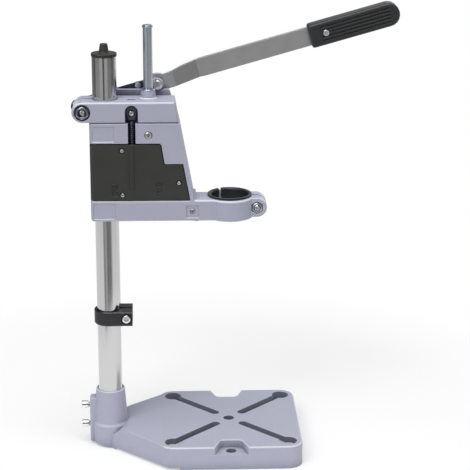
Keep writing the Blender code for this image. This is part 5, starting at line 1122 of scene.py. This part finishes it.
# %% Bushes and washers
FINE_EDGE = 0.2 * MM
BUSH_INNER, BUSH_OUTER = 13.0 * MM, 14.0 * MM
for node in ("upper_bush", "lower_bush"):
    low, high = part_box(node)
    bush = tube("Z", (0, 0, 0), BUSH_INNER, BUSH_OUTER, low[2], high[2], FINE_EDGE)
    place(bush, node + "_turned", node, black_plastic)
WASHERS = (("pivot_washer", PIVOT_X, PIVOT_Z, 5.6, bright_steel),
           ("pivot_spacer", PIVOT_X, PIVOT_Z, 7.0, zinc),
           ("fulcrum_washer", LOBE_X, HEAD_MIDDLE, 6.5, zinc))
for node, x, z, outer, finish in WASHERS:
    low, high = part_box(node)
    washer = tube("Y", (x, 0, z), BOLT_HOLE_R, outer * MM, low[1], high[1], FINE_EDGE)
    place(washer, node + "_turned", node, finish)

# %% [markdown]
# Screws, bolts and nuts
# A socket screw is a turned head and shank, with a six-sided key hole cut into the head and thread ridges on
# what shows of the shank. The ridges are rings of the profile: at this size the eye can't tell them from a
# helix. A nut is a six-sided bar whose corners are turned off to a cone on both faces.

# %% Threaded shanks and key holes
PITCH = 0.8
THREAD_DEPTH = 0.35
SHORT_START = 0.3


def thread(radius, start, end):
    """The outline of a threaded shank in millimetres, from start to end, as points of a profile."""
    step = math.copysign(PITCH, end - start)
    count = max(1, int(abs(end - start) / PITCH))
    points = []
    for turn in range(count):
        points += [(radius, start + step * turn, 0), (radius - THREAD_DEPTH, start + step * (turn + 0.5), 0)]
    return [*points, (radius - THREAD_DEPTH, end, 0)]


def key_hole(axis, centre, reach, start, end):
    """A six-sided cutter for a hex key along X or Y, its corners up and down."""
    if axis == "Y":
        return prism("XZ", hexagon((centre[0], centre[2]), reach), start, end)
    return prism("YZ", hexagon((centre[1], centre[2]), reach), start, end)


def socket_screw(axis, centre, head_r, head_start, head_end, shank_r, shank_end, key_r, key_depth, dome=0.5):
    """A socket screw in millimetres; its head starts at head_start and its shank ends at shank_end."""
    ahead = math.copysign(1, shank_end - head_start)
    profile = [(0, head_start, 0), (head_r, head_start, dome), (head_r, head_end, 0.1),
               (shank_r, head_end, 0), *thread(shank_r, head_end + ahead * SHORT_START, shank_end),
               (0, shank_end, 0)]
    made = lathe(axis, centre, profile, 36)
    ends = (head_start * MM - ahead * OVERRUN, head_start * MM + ahead * key_depth * MM)
    return cut(made, key_hole(axis, centre, key_r * MM, *ends))


def depths(node):
    """How far a CAD node reaches from front to back, in millimetres."""
    low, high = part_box(node)
    return low[1] / MM, high[1] / MM


for node, height in zip(("socket_bolt_upper", "socket_bolt_lower"), BOLT_HEIGHTS):
    low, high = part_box(node)
    bolt = socket_screw("X", (0, 0, height), 4.1, -31.8, -25.0, 3.0, high[0] / MM, 2.4, 3.0)
    place(bolt, node + "_turned", node, bright_steel)

# %% Screws in the front
RING_SCREW_X, RING_SCREW_Z = 18.9 * MM, 149 * MM
COVER_SCREW_NODES = ("cover_screw_upper", "cover_screw_lower", "cover_screw_side")
FRONT_SCREWS = (("rod_screw", ROD_X, ROD_SCREW_Z, 3.7, 2.6, 1.9, 2.4, 1.7, 1.3),
                ("spring_anchor_screw", SPRING_X, EYE_Z, 2.6, 1.4, 0.7, 1.8, 1.3, 0.6),
                ("stop_ring_screw", RING_SCREW_X, RING_SCREW_Z, 4.5, 3.2, 0.8, 2.2, 2.4, 1.8),
                ("pivot_bolt", PIVOT_X, PIVOT_Z, 5.2, 2.8, 2.4, 3.0, 1.6, 0.9),
                *((node, x, z, 1.95, 1.0, 0.7, 1.4, 0.9, 0.5)
                  for node, (x, z) in zip(COVER_SCREW_NODES, COVER_SCREWS)))
for node, x, z, head_r, head_length, dome, shank_r, key_r, key_depth in FRONT_SCREWS:
    start, end = depths(node)
    screw = socket_screw("Y", (x, 0, z), head_r, start, start + head_length, shank_r, end, key_r,
                         key_depth, dome)
    place(screw, node + "_turned", node, bright_steel)

# %% Studs
FLAT_SHARE, CONE_SHARE = 0.80, 0.7
CONE_SPARE = 0.05
start, end = depths("clamp_stud")
stud = lathe("Y", (LOBE_X, 0, HEAD_MIDDLE), [(0, start, 0), (2.2, start + 0.1, 2.5), (3.4, -18.6, 0.6),
                                             *thread(4.0, -18.4, -12), (4.0, -12, 0), (4.0, 25.9, 0.2),
                                             (3.0, 25.9, 0), *thread(3.0, 29, end), (0, end, 0)], 36)
place(stud, "stud_turned", "clamp_stud", bright_steel)

# %% Six-sided bars, and what is made of them


def hex_bar(centre, corner_r, start, end):
    """A six-sided bar along Y in millimetres, its corners turned off at both ends."""
    bar = key_hole("Y", centre, corner_r * MM, start * MM, end * MM)
    flat, full = corner_r * FLAT_SHARE, corner_r + CONE_SPARE
    drop = (corner_r - flat) * CONE_SHARE
    lens = lathe("Y", centre, [(0, start, 0), (flat, start, 0), (full, start + drop, 0),
                               (full, end - drop, 0), (flat, end, 0), (0, end, 0)])
    return combine(bar, [lens], "INTERSECT")


start, end = depths("arm_set_screw")
set_screw = lathe("Y", (PAD_X, 0, PAD_Z), [(0, start, 0), (2.2, start, 0.2), *thread(2.6, start + 0.4, end),
                                           (0, end, 0)], 24)
cut(set_screw, key_hole("Y", (PAD_X, 0, PAD_Z), 1.5 * MM, start * MM - OVERRUN, (start + 2.4) * MM))
place(set_screw, "set_screw_turned", "arm_set_screw", bright_steel)
start, end = depths("collar_bolt")
shank = lathe("Y", (LUG_X, 0, LUG_Z), [(0, start, 0), (2.4, start, 0.6), *thread(3.0, start + 0.8, 0),
                                       (3.0, 0, 0), (3.0, 15.0, 0), (0, 15.0, 0)], 36)
collar_bolt = join(hex_bar((LUG_X, 0, LUG_Z), 6.1, 14.3, 18.9), shank)
place(collar_bolt, "collar_bolt_turned", "collar_bolt", bright_steel)

# %% Nuts
BORE_LIP = 0.5
BORE_BEFORE, BORE_END = 2, 60
NUTS = (("clamp_front_nut", LOBE_X, HEAD_MIDDLE, 7.0, 4.3, nut_steel),
        ("clamp_rear_nut", LOBE_X, HEAD_MIDDLE, 7.5, 4.3, zinc),
        ("fulcrum_nut", LOBE_X, HEAD_MIDDLE, 5.8, 3.3, zinc),
        ("collar_nut", LUG_X, LUG_Z, 5.8, 3.3, zinc),
        ("pivot_nut", PIVOT_X, PIVOT_Z, 5.8, 3.3, zinc),
        ("stop_ring_nut", RING_SCREW_X, RING_SCREW_Z, 4.4, 2.5, zinc))
for node, x, z, corner_r, bore_r, finish in NUTS:
    start, end = depths(node)
    nut = hex_bar((x, 0, z), corner_r, start, end)
    mouth_r = bore_r + BORE_LIP
    bore = [(0, start - BORE_BEFORE, 0), (mouth_r, start - BORE_BEFORE, 0), (mouth_r, start, 0),
            (bore_r, start + BORE_LIP, 0), (bore_r, end - BORE_LIP, 0), (mouth_r, end, 0),
            (mouth_r, BORE_END, 0), (0, BORE_END, 0)]
    cut(nut, lathe("Y", (x, 0, z), bore, 36))
    place(nut, node + "_turned", node, finish)

# %% [markdown]
# The return spring
# The spring is one wire, wound 37 times. A small circle is spun about the coil's axis while each step also
# lifts it, which is just what a winding machine does. It is blended from the head to the carriage, so it
# stretches when the carriage comes down.

# %% Spring
WIRE_R = 0.55 * MM
COIL_R = 2.70 * MM
SPRING_Y = -13.2 * MM
SPRING_LOW, SPRING_TOP = 292.3 * MM, 367.7 * MM
SPRING_TURNS = 37
TURN_STEPS = 20
WIRE_SIDES = 8
LEAD_DEG = 80


def wind_spring():
    """The coil, with both ends led straight on to what holds them."""
    shape = bmesh.new()
    lead = 2 * WIRE_R
    rise = (SPRING_TOP - SPRING_LOW - 2 * lead) / (SPRING_TURNS * TURN_STEPS)
    foot = Vector((SPRING_X + COIL_R, SPRING_Y, SPRING_LOW))
    bmesh.ops.create_circle(shape, cap_ends=True, radius=WIRE_R, segments=WIRE_SIDES)
    bmesh.ops.translate(shape, verts=shape.verts, vec=foot)
    grown_part = bmesh.ops.extrude_face_region(shape, geom=shape.faces[:])["geom"]
    tip = only(bmesh.types.BMVert, grown_part)
    bmesh.ops.translate(shape, verts=tip, vec=(0, 0, lead))
    bmesh.ops.rotate(shape, verts=tip, cent=foot + Vector((0, 0, lead)),
                     matrix=Matrix.Rotation(-math.radians(LEAD_DEG), 3, "X"))
    face = only(bmesh.types.BMFace, grown_part)
    wound = bmesh.ops.spin(shape, geom=face, cent=(SPRING_X, SPRING_Y, 0), axis=(0, 0, 1),
                           dvec=(0, 0, rise), angle=CIRCLE * SPRING_TURNS, steps=SPRING_TURNS * TURN_STEPS)
    last = only(bmesh.types.BMFace, wound["geom_last"])
    grown_part = bmesh.ops.extrude_face_region(shape, geom=last)["geom"]
    tip = only(bmesh.types.BMVert, grown_part)
    middle = sum((v.co for v in tip), Vector()) / len(tip)
    bmesh.ops.rotate(shape, verts=tip, cent=middle, matrix=Matrix.Rotation(math.radians(LEAD_DEG), 3, "X"))
    bmesh.ops.translate(shape, verts=tip, vec=(0, 0, SPRING_TOP - middle.z))
    inner = [f for f in face + last if f.is_valid]
    bmesh.ops.delete(shape, geom=inner, context="FACES_ONLY")
    return object_of("spring", shape)


spring = wind_spring()
spring.name = "spring_wound"
smooth(wear(spring, spring_steel), 60)
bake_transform(spring, "head_body", "carriage_body", start=(SPRING_X, SPRING_Y, SPRING_TOP - 2 * MM),
         end=(SPRING_X, SPRING_Y, SPRING_LOW + 2 * MM))
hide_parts("return_spring")
print("spring faces:", len(spring.data.polygons))

# %% Spring eye
EYE_FRONT, EYE_BACK = -15.2 * MM, -10.6 * MM
EYE_FOOT_HALF, EYE_FOOT_Z = 3.3 * MM, 367.9 * MM
teardrop = arc((SPRING_X, EYE_Z + 1.9 * MM), 5.9 * MM, -25, 205)
teardrop += [(SPRING_X - EYE_FOOT_HALF, EYE_FOOT_Z), (SPRING_X + EYE_FOOT_HALF, EYE_FOOT_Z)]
eye = prism("XZ", teardrop, EYE_FRONT, EYE_BACK, (0.8 * MM, 0.2 * MM))
cut(eye, rod("Y", (SPRING_X, 0, EYE_Z), 2.2 * MM, -30 * MM, 0),
    flared("XZ", disc((SPRING_X, EYE_Z), 3.9 * MM), EYE_FRONT + 1.3 * MM, EYE_FRONT, 0.3 * MM))
place(eye, "eye_pressed", "spring_eye", spring_steel)

# %% [markdown]
# Bevelled copies
# The cover, the insert, the lever's bar and the stop ring already have their shape in the CAD model, but its
# edges are knife-sharp, and real ones never are. So a copy of each node's mesh is merged, its flat faces are
# cleaned of triangles, and every crease gets a small round bevel.

# %% Copies with round edges
TINY_EDGE = 0.1 * MM
COPY_EDGE = 0.4 * MM


def bevelled(node, width, least_deg):
    """A merged copy of a CAD node with its sharp edges rounded."""
    shape = bmesh.new()
    shape.from_mesh(nodes[node].data)
    bmesh.ops.remove_doubles(shape, verts=shape.verts, dist=WELD)
    bmesh.ops.dissolve_limit(shape, angle_limit=math.radians(1), verts=shape.verts, edges=shape.edges)
    bmesh.ops.dissolve_degenerate(shape, edges=shape.edges, dist=TINY_EDGE)
    creases = [line for line in shape.edges if len(line.link_faces) == 2
               and line.calc_face_angle(0) > math.radians(least_deg)]
    bmesh.ops.bevel(shape, geom=creases, offset=width, offset_type="OFFSET", segments=2, affect="EDGES",
                    profile=0.5, material=-1, clamp_overlap=False)
    return object_of(node, shape)


for node, least_deg, finish in (("collar_insert", 30, insert_plastic), ("stop_ring", 60, dark_metal)):
    place(bevelled(node, COPY_EDGE, least_deg), node + "_rounded", node, finish)

# %% The cover's sunk marks
COVER_MARKS = ((9.6, 6.2, 296.0, 299.1), (9.6, 3.0, 293.0, 295.4), (9.6, 6.2, 287.9, 292.4),
               (55.9, 6.4, 297.6, 301.9), (55.9, 4.6, 291.1, 296.2))
COVER_FACE = FRONT_Y + 0.3 * MM


def mark_tool(x, wide, low, high):
    """A shallow recess in the cover, drawn in millimetres by its middle, width and two heights."""
    outline = tile(((x - wide / 2) * MM, low * MM), ((x + wide / 2) * MM, high * MM))
    return flared("XZ", softened(outline, 0.8 * MM), FRONT_Y + 0.9 * MM, COVER_FACE, 0.3 * MM)


cover = cut(bevelled("front_cover", 0.45 * MM, 30), *[mark_tool(*mark) for mark in COVER_MARKS])
cut(cover, corner_tool("XY", (LEFT_X, FRONT_Y), CORNER_R, ARM_TOP, BAND_LOW))
place(cover, "cover_marked", "front_cover", black_plastic)

# %% [markdown]
# The lever
# The lever is a flat steel bar, a thinner arm riveted to it, and a rubbery black handle moulded over its end:
# a stadium seen from the front, well rounded in section, with grooves along both faces. Slanted things are
# easiest to draw level, so each is modelled with the pivot at the origin and then swung up.

# %% Bar with its waist
LEVER_DEG = 15.9
SWELL_R = 10.7
WAISTS = ([(-46, 6.4), *arc((0, 0), SWELL_R, 90, 143)[::-1], (0, 14), (-46, 14)],
          [(30, 14), (0, 14), *arc((0, 0), SWELL_R, 40, 90)[::-1], (20, 8.1), (30, 9.6)])


def levelled(piece):
    """Takes a lever piece from its rest angle to level, with the pivot at the origin."""
    piece.data.transform(Matrix.Translation((-PIVOT_X, 0, -PIVOT_Z)))
    piece.data.transform(Matrix.Rotation(math.radians(LEVER_DEG), 4, "Y"))
    return piece


def swung(piece):
    """Swings a level lever piece up to its rest angle about its pivot."""
    piece.data.transform(Matrix.Rotation(-math.radians(LEVER_DEG), 4, "Y"))
    piece.data.transform(Matrix.Translation((PIVOT_X, 0, PIVOT_Z)))
    return piece


bar = levelled(bevelled("lever_bar", COPY_EDGE, 30))
waists = [prism("XZ", [(x * MM, z * MM) for x, z in corners], 20 * MM, 56 * MM) for corners in WAISTS]
place(swung(cut(bar, *waists)), "bar_rounded", "lever_bar", lever_steel)

# %% Grip and its screw
GRIP_MIDDLE = 46.9 * MM
GRIP_START, GRIP_END = 168 * MM, 266.3 * MM
GRIP_HALF = 12.6 * MM
GRIP_THICK = 9.5 * MM
GRIP_END_R = 12.2 * MM
BAR_END, BAR_HALF, BAR_THICK = 254.3 * MM, 10.4 * MM, 2.3 * MM
GRIP_SCREW_X = 185.8 * MM
GROOVE_COUNT = 5
GROOVE_PITCH, GROOVE_R, GROOVE_DEPTH = 3.6 * MM, 0.8 * MM, 1.2 * MM
GROOVE_START, MIDDLE_GROOVE_START, GROOVE_END = 182 * MM, 192 * MM, 255 * MM


def make_grip():
    """The grooved handle."""
    outline = softened([(GRIP_START, -GRIP_HALF), (GRIP_END, -GRIP_HALF, GRIP_END_R),
                        (GRIP_END, GRIP_HALF, GRIP_END_R), (GRIP_START, GRIP_HALF)], 3 * MM)
    made = prism("XZ", outline, GRIP_MIDDLE - GRIP_THICK, GRIP_MIDDLE + GRIP_THICK, 2.9 * MM, 4)
    tools = [box((GRIP_START - OVERRUN, GRIP_MIDDLE - BAR_THICK, -BAR_HALF),
                 (BAR_END, GRIP_MIDDLE + BAR_THICK, BAR_HALF))]
    for index in range(GROOVE_COUNT):
        height = (index - (GROOVE_COUNT - 1) / 2) * GROOVE_PITCH
        start = MIDDLE_GROOVE_START if index == GROOVE_COUNT // 2 else GROOVE_START
        slot = arc((start, height), GROOVE_R, 90, 270) + arc((GROOVE_END, height), GROOVE_R, -90, 90)
        for side in (-1, 1):
            surface = GRIP_MIDDLE + side * GRIP_THICK
            tools.append(flared("XZ", slot, surface - side * GROOVE_DEPTH, surface, 0.5 * MM))
    front = GRIP_MIDDLE - GRIP_THICK
    tools += [flared("XZ", disc((GRIP_SCREW_X, 0), 3.9 * MM), front + 1.9 * MM, front, 0.5 * MM),
              rod("Y", (GRIP_SCREW_X, 0, 0), 2.3 * MM, front, front + 16.6 * MM, sides=24)]
    return swung(cut(made, *tools))


place(make_grip(), "grip_moulded", "grip", grip_plastic)
front = (GRIP_MIDDLE - GRIP_THICK) / MM
grip_screw = socket_screw("Y", (GRIP_SCREW_X, 0, 0), 3.4, front + 0.2, front + 1.6, 2.0, front + 15, 1.5, 1.0,
                          0.9)
place(swung(grip_screw), "grip_screw_turned", "grip_screw", bright_steel)

# %% Inner arm
INNER_FRONT, INNER_BACK = 26.2 * MM, 28.6 * MM
INNER_RIM = 0.3 * MM
SLOT_R, SLOT_RISE = 4.1 * MM, 0.9 * MM
PIN = Vector((LOBE_X - PIVOT_X, 0, HEAD_MIDDLE - PIVOT_Z))
PIN.rotate(Matrix.Rotation(math.radians(LEVER_DEG), 3, "Y"))
arm_outline = [(-9.6 * MM, -9.0 * MM), (-9.6 * MM, 7.3 * MM)]
arm_outline += arc((PIN.x - 6.6 * MM, -0.85 * MM), 8.15 * MM, 90, 270)
arm_slot = arc((PIN.x + 2.2 * MM, PIN.z + SLOT_RISE), SLOT_R, -90, 90)
arm_slot += arc((PIN.x - 7.9 * MM, PIN.z + SLOT_RISE), SLOT_R, 90, 270)
inner_arm = prism("XZ", softened(arm_outline, INNER_RIM), INNER_FRONT, INNER_BACK, INNER_RIM)
cut(inner_arm, prism("XZ", arm_slot, INNER_FRONT - OVERRUN, INNER_BACK + OVERRUN))
place(swung(inner_arm), "arm_pressed", "lever_inner_arm", slate_steel)

# %% Rivets
RIVET_PROFILE = ((0, 25.2, 0), (1.6, 25.25, 0), (3.0, 25.6, 0.2), (3.2, 25.9, 0), (2.0, 25.9, 0),
                 (2.0, 33.2, 0), (3.2, 33.2, 0), (2.9, 33.8, 0.2), (1.6, 34.4, 0), (0, 34.4, 0))
RIVETS = (("lever_rivet_near", 20.0, 3.6, zinc), ("lever_rivet_far", 28.5, 1.5, dark_metal))
for node, reach, rise, finish in RIVETS:
    rivet = lathe("Y", (-reach * MM, 0, rise * MM), RIVET_PROFILE, 32)
    place(swung(rivet), node + "_domed", node, finish)

# %% [markdown]
# The studio
# The picture has a white sweep with soft light from above on the left. The floor is a pale round sheet that
# takes the shadow and fades into pure white where the camera looks past it. Polished metal would mirror an
# all-white room as plain white, so what glossy rays see beyond the near floor is the grey bands of a real
# studio, and the base casting is kept out of mirror images.

# %% Floor
FLOOR_RADIUS = 0.60
FLOOR_SIDES = 96
FLOOR_COLOUR = (0.95, 0.95, 0.955)
FLOOR_GLOW = 0.4
SHADOW_REACH = 0.34
FADE_REACH = 0.50
MIRROR_REACH = 0.42
FLOOR_CENTRE = Vector((0.09, 0, 0))


def ray_kinds(sheet):
    """1 on a camera ray, on a mirrored ray, and on a ray through glass."""
    return [sheet.add("ShaderNodeLightPath", output=kind)
            for kind in ("Is Camera Ray", "Is Glossy Ray", "Is Transmission Ray")]


def make_floor():
    """A round floor that fades to white for the camera and for reflections."""
    shape = bmesh.new()
    bmesh.ops.create_circle(shape, cap_ends=True, radius=FLOOR_RADIUS, segments=FLOOR_SIDES)
    bmesh.ops.translate(shape, verts=shape.verts, vec=FLOOR_CENTRE)
    mesh = bpy.data.meshes.new("floor")
    shape.to_mesh(mesh)
    shape.free()
    floor = bpy.data.objects.new("floor", mesh)
    bpy.context.scene.collection.objects.link(floor)
    made, sheet, shader = new_finish("floor")
    wire_up(sheet, shader, Base_Color=FLOOR_COLOUR, Roughness=0.9)
    shader.inputs["Specular IOR Level"].default_value = 0.0
    seen, mirrored, through = ray_kinds(sheet)
    offset = sheet.add("ShaderNodeVectorMath", {"operation": "SUBTRACT"},
                       {0: place_of(sheet), 1: tuple(FLOOR_CENTRE)})
    away = sheet.add("ShaderNodeVectorMath", {"operation": "LENGTH"}, {0: offset}, "Value")
    fade = ramp(sheet, away, (SHADOW_REACH, FLOOR_GLOW), (FADE_REACH, 1.0))
    white = sheet.add("ShaderNodeEmission", None, {"Color": (1, 1, 1, 1), "Strength": 1.0}, "Emission")
    body = Wire(sheet.tree, shader.outputs["BSDF"])
    mixed = sheet.add("ShaderNodeMixShader", None,
                      {0: (seen + mirrored + through) * fade, 1: body, 2: white}, "Shader")
    clear = sheet.add("ShaderNodeBsdfTransparent")
    beyond = mirrored * (away > MIRROR_REACH)
    mixed = sheet.add("ShaderNodeMixShader", None, {0: beyond, 1: mixed, 2: clear}, "Shader")
    output = sheet.tree.nodes["Material Output"]
    sheet.tree.links.new(mixed.socket, output.inputs["Surface"])
    wear(floor, made)
    return floor


floor = make_floor()
base_casting.visible_glossy = False
print("floor radius", FLOOR_RADIUS)

# %% World
AMBIENT_STOPS = ((0.0, 0.18), (0.48, 0.20), (0.53, 0.34), (1.0, 0.50))
BAND_STOPS = ((0.0, 0.19), (0.19, 0.19), (0.20, 0.08), (0.25, 0.08), (0.26, 0.26), (0.38, 0.26),
              (0.395, 0.48), (0.462, 0.48), (0.469, 0.04), (0.503, 0.04), (0.51, 0.48), (0.585, 0.48),
              (0.60, 0.20), (0.69, 0.19), (0.70, 0.10), (0.77, 0.10), (0.785, 0.85), (1.0, 0.85))
LOW_BAND_STOPS = ((0.0, 0.86), (0.385, 0.90), (0.40, 0.29), (0.435, 0.30), (0.45, 0.48), (0.478, 0.48),
                  (0.49, 0.20), (0.59, 0.20), (0.61, 0.50), (0.64, 0.88), (1.0, 0.88))
LOW_BANDS_START, LOW_BANDS_FULL = 0.245, 0.265


def light_world():
    """Plain soft light all round, white for the camera, banded for reflections."""
    world = bpy.data.worlds.new("studio")
    world.use_nodes = True
    bpy.context.scene.world = world
    sheet = Wire(world.node_tree)
    seen, mirrored, through = ray_kinds(sheet)
    aim = sheet.add("ShaderNodeTexCoord", output="Generated")
    height = part_of(sheet, aim, "Z")
    turn = sheet.maths("ARCTAN2", part_of(sheet, aim, "X"), 0 - part_of(sheet, aim, "Y"))
    turn = turn * (1 / CIRCLE) + 0.5
    low = ramp(sheet, 0 - height, (LOW_BANDS_START, 0.0), (LOW_BANDS_FULL, 1.0))
    bands = between(sheet, low, ramp(sheet, turn, *BAND_STOPS), ramp(sheet, turn, *LOW_BAND_STOPS))
    backdrop = between(sheet, mirrored, (1.0, 1.0, 1.0), bands)
    plain = (seen + mirrored + through) > 0.5
    ambient = ramp(sheet, height * 0.5 + 0.5, *AMBIENT_STOPS)
    colour = between(sheet, plain, ambient, backdrop)
    background = world.node_tree.nodes["Background"]
    background.inputs["Strength"].default_value = 1.0
    sheet.tree.links.new(colour.socket, background.inputs["Color"])
    return world


world = light_world()
print("world ambient", AMBIENT_STOPS)

# %% [markdown]
# Three soft boxes: a large one high on the left in front, one overhead, and a weak one on the right that
# keeps the shadows open. Area lamps are aimed by turning their -Z axis at the object.

# %% Lamps


def soft_box(name, place, size, power):
    """A square area lamp aimed at the middle of the object."""
    light = bpy.data.lights.new(name, "AREA")
    light.shape = "SQUARE"
    light.size = size
    light.energy = power
    made = bpy.data.objects.new(name, light)
    bpy.context.scene.collection.objects.link(made)
    made.location = place
    made.rotation_mode = "QUATERNION"
    made.rotation_quaternion = (CAMERA_TARGET - Vector(place)).to_track_quat("-Z", "Y")
    return made


lamps = [soft_box("key", (-0.9, -1.3, 1.9), 1.2, 24), soft_box("top", (0.12, -0.35, 2.1), 0.9, 14),
         soft_box("fill", (1.6, -1.0, 1.0), 1.0, 6)]
lamps[-1].visible_glossy = False
print("lamps:", [lamp.name for lamp in lamps])
